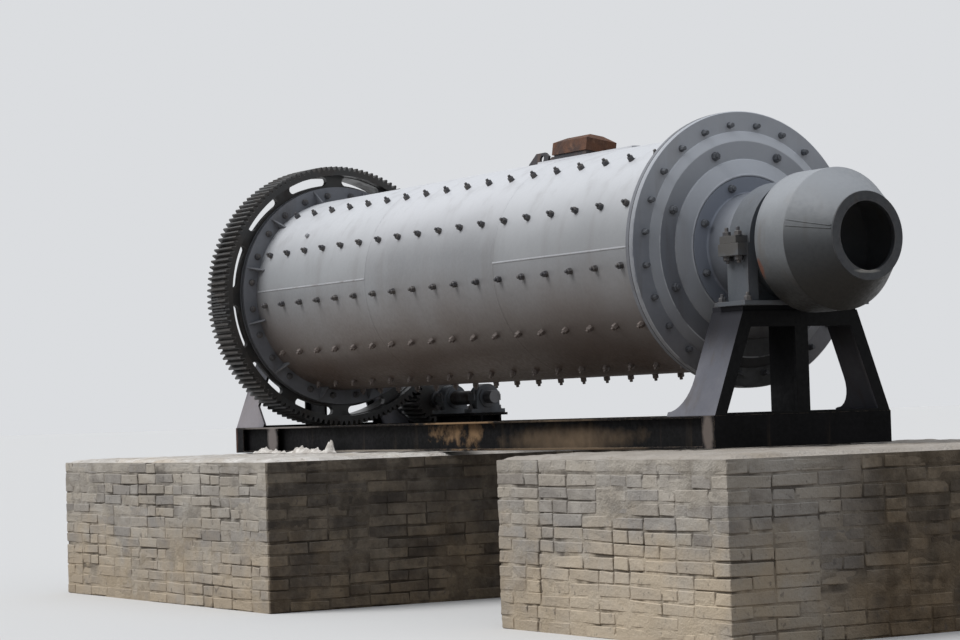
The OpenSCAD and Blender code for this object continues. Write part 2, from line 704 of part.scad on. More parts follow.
feed_pier();
feed_pier_mortar();
drive_pier();
drive_pier_mortar();
near_beam();
far_beam();
feed_end_beam();
drive_end_beam();
inner_ties();
feed_pedestal();
drive_pedestal();
feed_bearing_base();
feed_bearing_bush();
feed_bearing_cap();
drive_bearing_base();
drive_bearing_bush();
drive_bearing_cap();
pinion_bed();
outboard_block();
inboard_block();
end_block();
shell();
feed_shell_flange();
drive_shell_flange();
feed_head();
drive_head();
feed_trunnion();
drive_trunnion();
girth_gear();
gear_web();
feeder_back();
feeder_barrel();
feeder_cone();
feeder_mouth();
feeder_lip();
manhole_pad();
manhole_neck();
manhole_cover();
manhole_lugs();
pinion();
pinion_shaft();
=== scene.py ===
import bpy
import numpy as np
from mathutils import Matrix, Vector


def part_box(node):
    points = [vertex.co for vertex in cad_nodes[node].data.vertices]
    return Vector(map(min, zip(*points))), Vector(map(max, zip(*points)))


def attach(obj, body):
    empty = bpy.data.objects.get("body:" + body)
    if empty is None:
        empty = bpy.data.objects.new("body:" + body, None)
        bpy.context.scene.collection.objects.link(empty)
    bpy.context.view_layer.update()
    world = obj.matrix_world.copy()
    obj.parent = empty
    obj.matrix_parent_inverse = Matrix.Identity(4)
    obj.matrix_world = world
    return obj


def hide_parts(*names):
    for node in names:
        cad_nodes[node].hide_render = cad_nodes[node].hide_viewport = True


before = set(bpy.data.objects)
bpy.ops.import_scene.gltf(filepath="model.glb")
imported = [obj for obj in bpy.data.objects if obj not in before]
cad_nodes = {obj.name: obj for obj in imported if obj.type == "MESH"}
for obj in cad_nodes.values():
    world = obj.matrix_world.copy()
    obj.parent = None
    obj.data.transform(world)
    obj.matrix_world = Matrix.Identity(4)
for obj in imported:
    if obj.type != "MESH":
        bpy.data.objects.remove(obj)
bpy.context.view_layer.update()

# The mill's axis: every turned piece is placed by its distance along it, counted from the drum's middle.
shell_low, shell_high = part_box("shell")
MILL_X = (shell_low.x + shell_high.x) / 2
AXIS_Z = (shell_low.z + shell_high.z) / 2
JOINT_X = (shell_high.x - shell_low.x) / 2
SHELL_R = 0.612


# Camera
# It stands low, off the feed end on the near side, as in the photograph. Its place and turn come from
# matching the bolt circles and rows in the picture.
yaw, pitch, roll = 1.0263, 0.0355, -0.0306
forward = np.array([-np.sin(yaw) * np.cos(pitch), np.cos(yaw) * np.cos(pitch), np.sin(pitch)])
level_right = np.array([np.cos(yaw), np.sin(yaw), 0.0])
level_up = np.cross(level_right, forward)
right = np.cos(roll) * level_right + np.sin(roll) * level_up
up = -np.sin(roll) * level_right + np.cos(roll) * level_up
camera_data = bpy.data.cameras.new("camera")
camera_data.lens = 100.04
camera_data.sensor_width = 36.0
camera_data.sensor_fit = "HORIZONTAL"
camera = bpy.data.objects.new("camera", camera_data)
turn = Matrix(np.column_stack([right, up, -forward]).tolist()).to_4x4()
camera.matrix_world = Matrix.Translation((12.5507, -8.1912, 1.0437)) @ turn
bpy.context.scene.collection.objects.link(camera)
bpy.context.scene.camera = camera
bpy.context.scene.view_settings.view_transform = "Standard"


# Floor and light
# A pale studio floor, a broad soft lamp high on the near side and a sky that is brightest overhead. A
# plain backdrop shows behind the mill and in its gloss, and doesn't add light.
def srgb(red, green, blue):
    """A colour written as 0 to 255, as linear values."""
    c = np.array([red, green, blue]) / 255.0
    return (*np.where(c <= 0.04045, c / 12.92, ((c + 0.055) / 1.055) ** 2.4).tolist(), 1.0)


def node(tree, kind, inputs=None, **settings):
    """Adds a node. inputs gives a value, or another node's output, for a socket's name or number."""
    made = tree.nodes.new(kind)
    for name, value in settings.items():
        setattr(made, name, value)
    for key, value in (inputs or {}).items():
        if isinstance(value, bpy.types.NodeSocket):
            tree.links.new(value, made.inputs[key])
        else:
            made.inputs[key].default_value = value
    return made


def maths(tree, operation, *values, **settings):
    """The result of a math node, from numbers and outputs in the order of its sockets."""
    return node(tree, "ShaderNodeMath", dict(enumerate(values)), operation=operation, **settings).outputs[0]


def span(tree, value, start, end, low=0.0, high=1.0, **settings):
    """How far a value is from start to end, clamped, as low to high."""
    return node(tree, "ShaderNodeMapRange", {"Value": value, "From Min": start, "From Max": end,
                "To Min": low, "To Max": high}, **settings).outputs["Result"]


def place(tree, kind="Object"):
    """The object's own coordinates, or another output of the coordinate node."""
    return node(tree, "ShaderNodeTexCoord").outputs[kind]


def split(tree, kind="Object"):
    """The same as X, Y and Z."""
    return node(tree, "ShaderNodeSeparateXYZ", {0: place(tree, kind)}).outputs


def tint(tree, mask, low, high, amount=1.0, blend="MIX"):
    """Mixes two colours, each a value or an output, by a mask."""
    if amount != 1.0:
        mask = maths(tree, "MULTIPLY", mask, amount)
    mixed = node(tree, "ShaderNodeMix", {0: mask, 6: low, 7: high}, data_type="RGBA", blend_type=blend)
    return mixed.outputs[2]


def seen_rays(tree, *kinds):
    """1 for the named kinds of ray, 0 for the others."""
    path = node(tree, "ShaderNodeLightPath")
    seen = path.outputs[kinds[0]]
    for kind in kinds[1:]:
        seen = maths(tree, "MAXIMUM", seen, path.outputs[kind])
    return seen


def principled(name, roughness, metallic=0.0):
    """A material, its tree and its Principled shader, with a plain roughness and metallic."""
    made = bpy.data.materials.new(name)
    made.use_nodes = True
    shader = made.node_tree.nodes["Principled BSDF"]
    shader.inputs["Roughness"].default_value = roughness
    shader.inputs["Metallic"].default_value = metallic
    return made, made.node_tree, shader


def paint(shader, color):
    """Gives a shader its colour."""
    shader.id_data.links.new(color, shader.inputs["Base Color"])


def mesh_piece(name, points, groups, material, smooth=False):
    """A mesh object from points (n, 3) and groups of faces, each an array (m, corners)."""
    mesh = bpy.data.meshes.new(name)
    groups = [np.asarray(g, dtype=np.int32) for g in groups]
    corners = np.concatenate([g.ravel() for g in groups])
    totals = np.concatenate([np.full(len(g), g.shape[1], dtype=np.int32) for g in groups])
    mesh.vertices.add(len(points))
    mesh.vertices.foreach_set("co", np.asarray(points, dtype=np.float32).ravel())
    mesh.loops.add(len(corners))
    mesh.loops.foreach_set("vertex_index", corners)
    mesh.polygons.add(len(totals))
    mesh.polygons.foreach_set("loop_start", np.concatenate([[0], np.cumsum(totals)[:-1]]).astype(np.int32))
    mesh.polygons.foreach_set("loop_total", totals)
    mesh.polygons.foreach_set("use_smooth", np.full(len(totals), smooth))
    mesh.update(calc_edges=True)
    mesh.validate()
    made = bpy.data.objects.new(name, mesh)
    bpy.context.scene.collection.objects.link(made)
    mesh.materials.append(material)
    return made


floor_paint, tree, shader = principled("pale_floor", 0.9)
seen = seen_rays(tree, "Is Camera Ray", "Is Glossy Ray")
paint(shader, tint(tree, seen, srgb(104, 95, 86), srgb(205, 204, 202)))
half = 400.0
floor = mesh_piece("floor", [[-half, -half, 0], [half, -half, 0], [half, half, 0], [-half, half, 0]],
                   [[[0, 1, 2, 3]]], floor_paint)

world = bpy.data.worlds.new("sky")
bpy.context.scene.world = world
world.use_nodes = True
sky = world.node_tree
sky.nodes.clear()
seen = seen_rays(sky, "Is Camera Ray", "Is Glossy Ray", "Is Transmission Ray")
overhead = span(sky, split(sky, "Generated")["Z"], 0.0, 0.9, 0.24, 0.86)
lit = node(sky, "ShaderNodeBackground", {"Color": srgb(232, 238, 247), "Strength": overhead})
shown = node(sky, "ShaderNodeBackground", {"Color": srgb(224, 226, 229), "Strength": 0.95})
both = node(sky, "ShaderNodeMixShader", {0: seen, 1: lit.outputs[0], 2: shown.outputs[0]})
node(sky, "ShaderNodeOutputWorld", {0: both.outputs[0]})

lamp_data = bpy.data.lights.new("key_lamp", "SUN")
lamp_data.energy = 2.4
lamp_data.angle = 0.6
lamp = bpy.data.objects.new("key_lamp", lamp_data)
back = np.array([-0.26, -0.60, 0.76])
back /= np.linalg.norm(back)
side = np.cross([0.0, 0.0, 1.0], back)
side /= np.linalg.norm(side)
lamp.matrix_world = Matrix(np.column_stack([side, np.cross(back, side), back]).tolist()).to_4x4()
bpy.context.scene.collection.objects.link(lamp)


# Shared finishes
# Every painted, rusty or dusty surface here is built from a few effects: blotches of a second colour,
# stains that run down from above, a fade with height, a patch in one place, and bare metal along edges.
def shader_group(name, outputs=("Mask",), **inputs):
    """An empty node group with its input and output sockets. An input's kind follows from its default."""
    made = bpy.data.node_groups.new(name, "ShaderNodeTree")
    kinds = {1: "NodeSocketFloat", 3: "NodeSocketVector", 4: "NodeSocketColor"}
    for label, default in inputs.items():
        socket = made.interface.new_socket(label, in_out="INPUT", socket_type=kinds[np.size(default)])
        socket.default_value = default
    for label in outputs:
        kind = kinds[{"Mask": 1, "Normal": 3, "Color": 4}[label]]
        made.interface.new_socket(label, in_out="OUTPUT", socket_type=kind)
    return made, node(made, "NodeGroupInput").outputs, node(made, "NodeGroupOutput").inputs


def vectors(tree, operation, *values):
    """The result of a vector math node. A length or a dot product comes out as a number."""
    made = node(tree, "ShaderNodeVectorMath", dict(enumerate(values)), operation=operation)
    return made.outputs[1 if operation in ("LENGTH", "DOT_PRODUCT") else 0]


def cloud(tree, where, scale, detail, roughness=0.5):
    """Cloudy noise, from 0 to 1."""
    return node(tree, "ShaderNodeTexNoise", {"Vector": where, "Scale": scale, "Detail": detail,
                "Roughness": roughness}).outputs["Fac"]


# Blotches: cloudy noise in the piece's own coordinates, cut to a mask between two thresholds.
blotches, given, result = shader_group("Blotches", Scale=4.0, From=0.45, To=0.65, Detail=6.0)
noise = cloud(blotches, place(blotches), given["Scale"], given["Detail"], 0.6)
cut = span(blotches, noise, given["From"], given["To"], interpolation_type="SMOOTHSTEP")
blotches.links.new(cut, result["Mask"])

# Runs: noise drawn out along Z, for rain and rust that ran down a side.
runs, given, result = shader_group("Runs", Scale=14.0, Length=0.06, From=0.5, To=0.75)
squeeze = node(runs, "ShaderNodeCombineXYZ", {0: 1.0, 1: 1.0, 2: given["Length"]}).outputs[0]
noise = cloud(runs, vectors(runs, "MULTIPLY", place(runs), squeeze), given["Scale"], 5.0, 0.55)
cut = span(runs, noise, given["From"], given["To"], interpolation_type="SMOOTHSTEP")
runs.links.new(cut, result["Mask"])

# Fade: a mask that grows from one height to another, broken up by a cloud.
fade, given, result = shader_group("Fade", From=1.0, To=2.0, Ragged=0.3)
noise = maths(fade, "SUBTRACT", cloud(fade, place(fade), 2.4, 6.0), 0.5)
level = maths(fade, "MULTIPLY_ADD", noise, given["Ragged"], split(fade)["Z"])
cut = span(fade, level, given["From"], given["To"], interpolation_type="SMOOTHSTEP")
fade.links.new(cut, result["Mask"])

# Patch: a ball-shaped mask round a place, stretched by a size along each axis, with a ragged rim.
patch_at, given, result = shader_group(
    "Patch", Place=(0.0, 0.0, 0.0), Size=(0.1, 0.1, 0.1), Ragged=1.2, Grain=14.0)
offset = vectors(patch_at, "SUBTRACT", place(patch_at), given["Place"])
away = vectors(patch_at, "LENGTH", vectors(patch_at, "DIVIDE", offset, given["Size"]))
noise = maths(patch_at, "SUBTRACT", cloud(patch_at, place(patch_at), given["Grain"], 6.0, 0.6), 0.5)
away = maths(patch_at, "MULTIPLY_ADD", noise, given["Ragged"], away)
patch_at.links.new(span(patch_at, away, 1.0, 0.6), result["Mask"])

# Edges: how far a rounded normal leans from the true one, broken up by fine noise.
edges, given, result = shader_group("Edges", ("Mask", "Normal"), Radius=0.006, Amount=1.0)
rounded = node(edges, "ShaderNodeBevel", {"Radius": given["Radius"]}, samples=4).outputs[0]
true_normal = node(edges, "ShaderNodeNewGeometry").outputs["Normal"]
lean = span(edges, vectors(edges, "DOT_PRODUCT", rounded, true_normal), 0.985, 0.86)
grit = span(edges, cloud(edges, place(edges), 38.0, 4.0), 0.42, 0.62)
worn = maths(edges, "MULTIPLY", lean, grit)
edges.links.new(maths(edges, "MULTIPLY", worn, given["Amount"], use_clamp=True), result["Mask"])
edges.links.new(rounded, result["Normal"])


def effect(tree, group, **inputs):
    """Places a shared effect in a material, with this material's own values, and gives its outputs."""
    return node(tree, "ShaderNodeGroup", inputs, node_tree=group).outputs


def lay_over(tree, color, shade, amount, group, **inputs):
    """Lays a shade over a colour where a shared effect shows."""
    return tint(tree, effect(tree, group, **inputs)["Mask"], color, shade, amount)


def fade_from_axis(tree, color, shade, amount, start, end, ragged):
    """Lays a shade that grows from one height over the mill's axis to another."""
    return lay_over(tree, color, shade, amount, fade, From=AXIS_Z + start, To=AXIS_Z + end, Ragged=ragged)


def two_tone(name, roughness, low, high, scale, start, end, metallic=0.0):
    """A material in two shades that lie in clouds, with its tree, shader and colour and the clouds' mask."""
    made, tree, shader = principled(name, roughness, metallic)
    mask = effect(tree, blotches, Scale=scale, From=start, To=end)["Mask"]
    color = tint(tree, mask, low, high)
    paint(shader, color)
    return made, tree, shader, color, mask


def specks(tree, scale):
    """Fine clouds, for a relief."""
    return effect(tree, blotches, Scale=scale, From=0.3, To=0.7)["Mask"]


def rough_between(shader, mask, low, high):
    """Lets the roughness follow a mask between two values."""
    tree = shader.id_data
    tree.links.new(span(tree, mask, 0.0, 1.0, low, high), shader.inputs["Roughness"])


def relief(shader, height, depth, distance, normal=None):
    """A bump from a height, laid over a normal where one is given."""
    tree = shader.id_data
    bump = node(tree, "ShaderNodeBump", {"Height": height, "Strength": depth, "Distance": distance})
    if normal is not None:
        tree.links.new(normal, bump.inputs["Normal"])
    tree.links.new(bump.outputs[0], shader.inputs["Normal"])


def weathered_paint(name, coat, faded, dirt, metal=srgb(96, 80, 68), roughness=(0.42, 0.66), wear=0.8,
                    dirt_from=0.52, dirt_to=0.72, edge_radius=0.005):
    """Old shop paint: two shades of the coat in clouds, dirt in runs, worn edges and a faint brush relief.
    Returns the material, its tree, its shader and its colour."""
    made, tree, shader, color, _ = two_tone(name, roughness[0], coat, faded, 3.1, 0.38, 0.68)
    color = lay_over(tree, color, dirt, 0.55, runs, Scale=11.0, Length=0.09, From=dirt_from, To=dirt_to)
    edge = effect(tree, edges, Radius=edge_radius, Amount=wear)
    color = tint(tree, edge["Mask"], color, metal)
    paint(shader, color)
    fine = specks(tree, 46.0)
    rough_between(shader, fine, *roughness)
    relief(shader, fine, 0.18, 0.0012, edge["Normal"])
    return made, tree, shader, color


def finish_nodes(material, *names):
    """Gives CAD nodes a finish, through their own material slots."""
    for name in names:
        for slot in cad_nodes[name].material_slots:
            slot.link = "OBJECT"
            slot.material = material


# Piers
# Two solid masonry piers of hand-laid grey bricks, 240 x 115 x 53 mm, in 10 mm mortar joints. The
# bricks are chipped and sit a little askew, mortar is smeared over many of them, and a skim covers the top.
COURSE = 0.063
BRICK_L, BRICK_W, BRICK_H, JOINT = 0.240, 0.115, 0.053, 0.010
brick_draws = np.random.default_rng(41)


def smooth_noise(x, y, cell, seed):
    """Noise in -1 to 1: random values on a square lattice, blended between corners by a smooth step."""
    values = np.random.default_rng(seed).uniform(-1.0, 1.0, (257, 257))
    u, v = np.asarray(x) / cell, np.asarray(y) / cell
    i, j = np.floor(u).astype(int), np.floor(v).astype(int)
    s, t = u - i, v - j
    s, t = s * s * (3 - 2 * s), t * t * (3 - 2 * t)
    i, j = i % 256, j % 256
    low = values[i, j] * (1 - s) + values[i + 1, j] * s
    high = values[i, j + 1] * (1 - s) + values[i + 1, j + 1] * s
    return low * (1 - t) + high * t


def tube_faces(rings, sides, closed=False, clockwise=False):
    """Faces for points stored ring by ring: quads between the rings, with a cap on the first and the last,
    or else closed by quads between these two. Those of clockwise rings are turned to look outward."""
    a = np.arange(rings if closed else rings - 1)[:, None] * sides + np.arange(sides)
    b = a - a % sides + (a + 1) % sides
    total = rings * sides
    faces = [np.stack([a, b, (b + sides) % total, (a + sides) % total], axis=-1).reshape(-1, 4)]
    if not closed:
        faces += [np.arange(sides)[::-1][None], np.arange(total - sides, total)[None]]
    return [np.roll(f[:, ::-1], 1, axis=1) for f in faces] if clockwise else faces


def worn_box(sizes, round_by):
    """Boxes of the given sizes with bevelled edges: three points at each corner, each pulled back along the
    other two axes. Returns the points, (n, 24, 3), and one box's faces."""
    signs = np.array([[x, y, z] for x in (-1, 1) for y in (-1, 1) for z in (-1, 1)], dtype=float)
    pull = np.ones((3, 3)) - np.eye(3)
    points = signs[None, :, None] * (np.asarray(sizes)[:, None, None] / 2 - round_by * pull)
    step = (12, 6, 3)
    quads = []
    triangles = [[k, k + 1, k + 2] for k in range(0, 24, 3)]
    for axis, b, c in ((0, 1, 2), (1, 2, 0), (2, 0, 1)):
        ring = [axis, axis + step[b], axis + step[b] + step[c], axis + step[c]]
        quads += [ring, [k + step[axis] for k in ring]]
        for k in (0, step[b], step[c], step[b] + step[c]):
            quads.append([k + c, k + b, k + step[axis] + b, k + step[axis] + c])
    points = points.reshape(-1, 24, 3)

    def facing_out(face):
        p, q, r = points[0][face[:3]]
        return face if np.dot(np.cross(q - p, r - q), p + q + r) > 0 else face[::-1]

    return points, [np.array([facing_out(face) for face in group]) for group in (quads, triangles)]


def repeat_faces(faces, count, points_each):
    """The faces of one shape, for count copies stored one after the other."""
    return (faces[None] + np.arange(count)[:, None, None] * points_each).reshape(-1, faces.shape[1])


def course_of_bricks(length, first):
    """Brick ends along a course: mostly stretchers with some headers, cut to fill the length."""
    at, pieces = 0.0, []
    while at < length - 0.02:
        size = first if first else (BRICK_L if brick_draws.random() > 0.36 else BRICK_W)
        first = None
        if length - at - size < 0.06:
            size = length - at
        pieces.append((at, size))
        at += size + JOINT
    return pieces


def crack_at(crack, z):
    """How far along the wall a crack runs at a height, from its corner points (x, z)."""
    return np.interp(z, crack[:, 1], crack[:, 0])


def split_at(row, at_crack, gap=0.012):
    """Breaks the brick that a crack runs through in two."""
    pieces = []
    for at, size in row:
        if at + 0.03 < at_crack < at + size - 0.03:
            pieces += [(at, at_crack - gap / 2 - at), (at_crack + gap / 2, at + size - at_crack - gap / 2)]
        else:
            pieces.append((at, size))
    return pieces


def pier_bricks(name, node_name, material, crack=None):
    """All bricks round a pier: per course, a row on each of its four sides, turned into place."""
    low, high = (np.array(v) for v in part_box(node_name))
    length, width = (high - low)[:2]
    middle = (low + high) / 2
    centres, sizes, turns, tones = [], [], [], []
    sides = ((length, width, 0.0), (width, length, 90.0), (length, width, 180.0), (width, length, 270.0))
    for course in range(int(round((high - low)[2] / COURSE))):
        height = low[2] + (course + 0.5) * COURSE
        lap = course % 2
        start = 0.0 if lap else BRICK_W + JOINT
        for along, across, angle in sides:
            row = course_of_bricks(along - (BRICK_W + JOINT), BRICK_L if lap else None)
            if crack is not None and angle == 0.0:
                row = split_at(row, crack_at(crack, height) - low[0] - start)
            for at, size in row:
                inset = 0.001 + abs(brick_draws.normal(0.0, 0.0013))
                if brick_draws.random() < 0.03:
                    inset += brick_draws.uniform(0.004, 0.012)
                depth = BRICK_W - inset
                a = np.radians(angle)
                x = -along / 2 + start + at + size / 2
                y = -across / 2 + inset + depth / 2
                centres.append([middle[0] + x * np.cos(a) - y * np.sin(a),
                                middle[1] + x * np.sin(a) + y * np.cos(a),
                                height + brick_draws.normal(0.0, 0.0022)])
                sizes.append([size + brick_draws.uniform(-0.003, 0.004), depth,
                              BRICK_H + brick_draws.uniform(-0.004, 0.006)])
                turns.append(a)
                tones.append(brick_draws.random())
    centres, count = np.array(centres), len(centres)
    centres[:, 2] += 0.0070 * smooth_noise(centres[:, 0] + centres[:, 1], centres[:, 2], 0.5, 90)
    points, faces = worn_box(sizes, 0.0035)
    points = points + np.repeat(brick_draws.normal(0.0, 0.0018, (count, 8, 3)), 3, axis=1)
    points[..., 2] += points[..., 0] * brick_draws.normal(0.0, 0.012, (count, 1))
    turns = np.array(turns) + brick_draws.normal(0.0, 0.006, count)
    cosine, sine = np.cos(turns)[:, None], np.sin(turns)[:, None]
    x = points[..., 0] * cosine - points[..., 1] * sine
    y = points[..., 0] * sine + points[..., 1] * cosine
    points = np.clip(np.stack([x, y, points[..., 2]], axis=-1) + centres[:, None], low, high)
    faces = [repeat_faces(group, count, 24) for group in faces]
    made = mesh_piece(name, points.reshape(-1, 3), faces, material)
    tone = made.data.attributes.new("tone", "FLOAT", "POINT")
    tone.data.foreach_set("value", np.repeat(np.array(tones, dtype=np.float32), 24))
    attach(made, "base")
    return made


def pier_joints(name, node_name, material, seed, crack=None):
    """The mortar between the bricks: the pier's four sides as one wavy skin, set in a few millimetres,
    deeper in washed-out hollows and over the bricks where it was smeared."""
    low, high = (np.array(v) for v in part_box(node_name))
    length, width, height = high - low
    step, set_in = 0.016, 0.0044
    around = 2 * (length + width)
    s = np.linspace(0.0, around, int(around / step) + 1)[:-1]
    z = np.linspace(low[2], high[2], int(height / step) + 1)[:, None]
    walls = np.array([length, width, length, width])
    corners = np.cumsum([0.0, *walls])
    side = np.clip(np.searchsorted(corners, s, side="right") - 1, 0, 3)
    run = set_in + (s - corners[side]) / walls[side] * (walls[side] - 2 * set_in)
    x = np.choose(side, [low[0] + run, high[0] - set_in, high[0] - run, low[0] + set_in])
    y = np.choose(side, [low[1] + set_in, low[1] + run, high[1] - set_in, high[1] - run])
    out = np.array([[0, -1], [1, 0], [0, 1], [-1, 0]])[side]
    washed = (smooth_noise(s, np.round((z - low[2]) / COURSE), 0.24, seed + 4)
              + 0.5 * smooth_noise(s, z, 0.05, seed + 5))
    push = (0.0022 * smooth_noise(s, z, 0.09, seed) + 0.0014 * smooth_noise(s, z, 0.031, seed + 1)
            + 0.0038 * smooth_noise(s, z, 0.34, seed + 2)
            + 0.0040 * (z > high[2] - 0.06) - 0.0085 * np.clip(washed - 0.10, 0.0, 0.7))
    if crack is not None:
        away = (low[0] + s - crack_at(crack, z)) / 0.011
        push -= 0.014 * np.exp(-away ** 2) * (side == 0)
    push = np.clip(push, -0.007, 0.0041)
    points = np.stack([x + push * out[:, 0], y + push * out[:, 1], np.broadcast_to(z, push.shape)], axis=-1)
    made = mesh_piece(name, points.reshape(-1, 3), tube_faces(*push.shape), material)
    hollow = made.data.attributes.new("hollow", "FLOAT", "POINT")
    hollow.data.foreach_set("value", np.clip((-0.0010 - push) / 0.004, 0.0, 1.0).astype(np.float32).ravel())
    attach(made, "base")


def pier_skim(name, node_name, material, seed):
    """Mortar skim on top: a grid whose height falls off to a ragged, rounded edge."""
    low, high = (np.array(v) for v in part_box(node_name))
    step = 0.020
    xs, ys = (np.linspace(low[k], high[k], int((high[k] - low[k]) / step) + 1) for k in (0, 1))
    x, y = np.meshgrid(xs, ys, indexing="ij")
    edge = np.minimum(np.minimum(x - low[0], high[0] - x), np.minimum(y - low[1], high[1] - y))
    ragged = (edge - 0.012 - 0.030 * (1 + smooth_noise(x, y, 0.19, seed))
              - 0.014 * smooth_noise(x, y, 0.052, seed + 3))
    rise = 1 - np.exp(-np.clip(ragged, 0.0, None) / 0.020)
    height = high[2] - low[2]
    lumps = 0.0045 * smooth_noise(x, y, 0.06, seed + 1) + 0.003 * smooth_noise(x, y, 0.35, seed + 2)
    z = low[2] + np.clip(rise * (height - 0.007 + lumps), 0.001, height)
    inset = np.where(edge < 1e-6, 0.006, 0.0)
    x = np.clip(x, low[0] + inset, high[0] - inset)
    y = np.clip(y, low[1] + inset, high[1] - inset)
    top = np.stack([x, y, z], axis=-1).reshape(-1, 3)
    k = (np.arange(len(xs) - 1)[:, None] * len(ys) + np.arange(len(ys) - 1)).ravel()
    faces = np.column_stack([k + len(ys), k + len(ys) + 1, k + 1, k])
    made = mesh_piece(name, top, [faces], material, smooth=True)
    wall = made.modifiers.new("wall", "SOLIDIFY")
    wall.thickness = 0.0008
    wall.offset = -1.0
    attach(made, "base")
    return made


# Weathering and painted shade shared by brick and mortar: soot and lime clouds all over, ochre earth splashed
# on the lower courses, a pale lime wash under the top, and mottled painted shade on the two faces turned from
# the light.
pier_weather_and_shade, given, result = shader_group(
    "Pier weathering and shade", ("Color",), Color=(0.3, 0.3, 0.3, 1.0), Tone=0.3)
tree = pier_weather_and_shade
at = split(tree)
ragged = cloud(tree, place(tree), 3.2, 7.0, 0.62)
level = maths(tree, "MULTIPLY_ADD", ragged, -1.5, at["Z"])
color = lay_over(tree, given["Color"], srgb(180, 175, 167), 0.5, blotches, Scale=6.0, From=0.46, To=0.66)
color = lay_over(tree, color, srgb(104, 100, 97), 0.35, blotches, Scale=2.6, From=0.50, To=0.74)
color = tint(tree, span(tree, level, -0.26, -0.72), color, srgb(186, 165, 134), 0.52)
color = tint(tree, span(tree, level, -0.10, 0.20), color, srgb(192, 185, 174), 0.5)
shade_mottle = maths(tree, "MULTIPLY", effect(tree, blotches, Scale=10.0, From=0.36, To=0.64)["Mask"], 0.55)
spotted = maths(tree, "MULTIPLY_ADD", given["Tone"], 0.45, shade_mottle)
# Painted shade on the drive pier's end, short of the feed pier, then on the feed pier's end away from its
# near corner.
for past_end, axis, onward, deepest_shade, lightest_shade in (
        ((-0.475, -0.466), "X", (0.6, 0.5), (0.23, 0.21, 0.195, 1.0), (0.68, 0.64, 0.58, 1.0)),
        ((3.26, 3.28), "Y", (-1.0, -0.5), (0.20, 0.165, 0.125, 1.0), (0.60, 0.53, 0.44, 1.0))):
    shade = maths(tree, "MULTIPLY", span(tree, at["X"], *past_end), span(tree, at[axis], *onward))
    color = tint(tree, shade, color, tint(tree, spotted, deepest_shade, lightest_shade), blend="MULTIPLY")
color = lay_over(tree, color, srgb(206, 190, 166), 0.5, patch_at, Place=(2.5, -1.375, 0.12),
              Size=(0.95, 0.2, 0.42), Ragged=1.6, Grain=3.0)
tree.links.new(color, result["Color"])

# Brick: grey clay, a different tone for each brick, pitted and with dark specks, under the piers' weathering
# and painted shade.
brick_clay_and_shade, tree, shader = principled("weathered_and_shaded_brick", 0.9)
tone = node(tree, "ShaderNodeAttribute", attribute_name="tone").outputs["Fac"]
ramp = node(tree, "ShaderNodeValToRGB", {0: tone})
ramp.color_ramp.elements[0].color = srgb(136, 129, 121)
ramp.color_ramp.elements[1].color = srgb(174, 165, 151)
for stop, shade in ((0.3, srgb(150, 145, 139)), (0.6, srgb(160, 152, 141))):
    ramp.color_ramp.elements.new(stop).color = shade
color = effect(tree, pier_weather_and_shade, Color=ramp.outputs[0], Tone=tone)["Color"]
color = lay_over(tree, color, srgb(80, 74, 70), 0.55, blotches, Scale=24.0, From=0.58, To=0.7)
paint(shader, color)
relief(shader, specks(tree, 55.0), 0.5, 0.004)

# Mortar: sandy lime, with painted shade in its washed-out hollows, darker the deeper they are.
mortar_lime_and_shade, tree, shader, color, _ = two_tone(
    "lime_mortar_and_shade", 0.92, srgb(140, 133, 123), srgb(170, 162, 150), 8.0, 0.4, 0.65)
color = effect(tree, pier_weather_and_shade, Color=color)["Color"]
# Painted shade in the hollows, from how deep the mortar lies.
hollow = node(tree, "ShaderNodeAttribute", attribute_name="hollow").outputs["Fac"]
color = tint(tree, hollow, color, srgb(64, 57, 51), 0.72)
paint(shader, color)
relief(shader, specks(tree, 75.0), 0.55, 0.004)

# Skim: the pale trowelled mortar on top, stained with earth, darker on the feed pier.
skim_lime, tree, shader, color, _ = two_tone(
    "trowelled_mortar", 0.92, srgb(190, 184, 176), srgb(220, 215, 208), 4.0, 0.4, 0.65)
color = lay_over(tree, color, srgb(176, 154, 122), 0.55, blotches, Scale=1.9, From=0.54, To=0.72)
color = lay_over(tree, color, srgb(138, 122, 104), 0.6, blotches, Scale=17.0, From=0.54, To=0.68)
color = tint(tree, span(tree, split(tree)["X"], 0.5, 1.2), color, srgb(146, 136, 124), 0.72)
paint(shader, color)
relief(shader, specks(tree, 60.0), 0.7, 0.006)

# The feed pier's near side is cracked from foot to top.
feed_crack = np.array([[1.739, 0.128], [1.770, 0.200], [1.761, 0.343],
                       [1.796, 0.486], [1.795, 0.629], [1.777, 0.772]])
for end, seed, crack in (("feed", 5, feed_crack), ("drive", 11, None)):
    bricks = pier_bricks(end + "_pier_bricks", end + "_pier", brick_clay_and_shade, crack)
    pier_joints(end + "_pier_joints", end + "_pier", mortar_lime_and_shade, seed, crack)
    skim = pier_skim(end + "_pier_skim", end + "_pier_mortar", skim_lime, seed + 50)
    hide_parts(end + "_pier")
    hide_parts(end + "_pier_mortar")

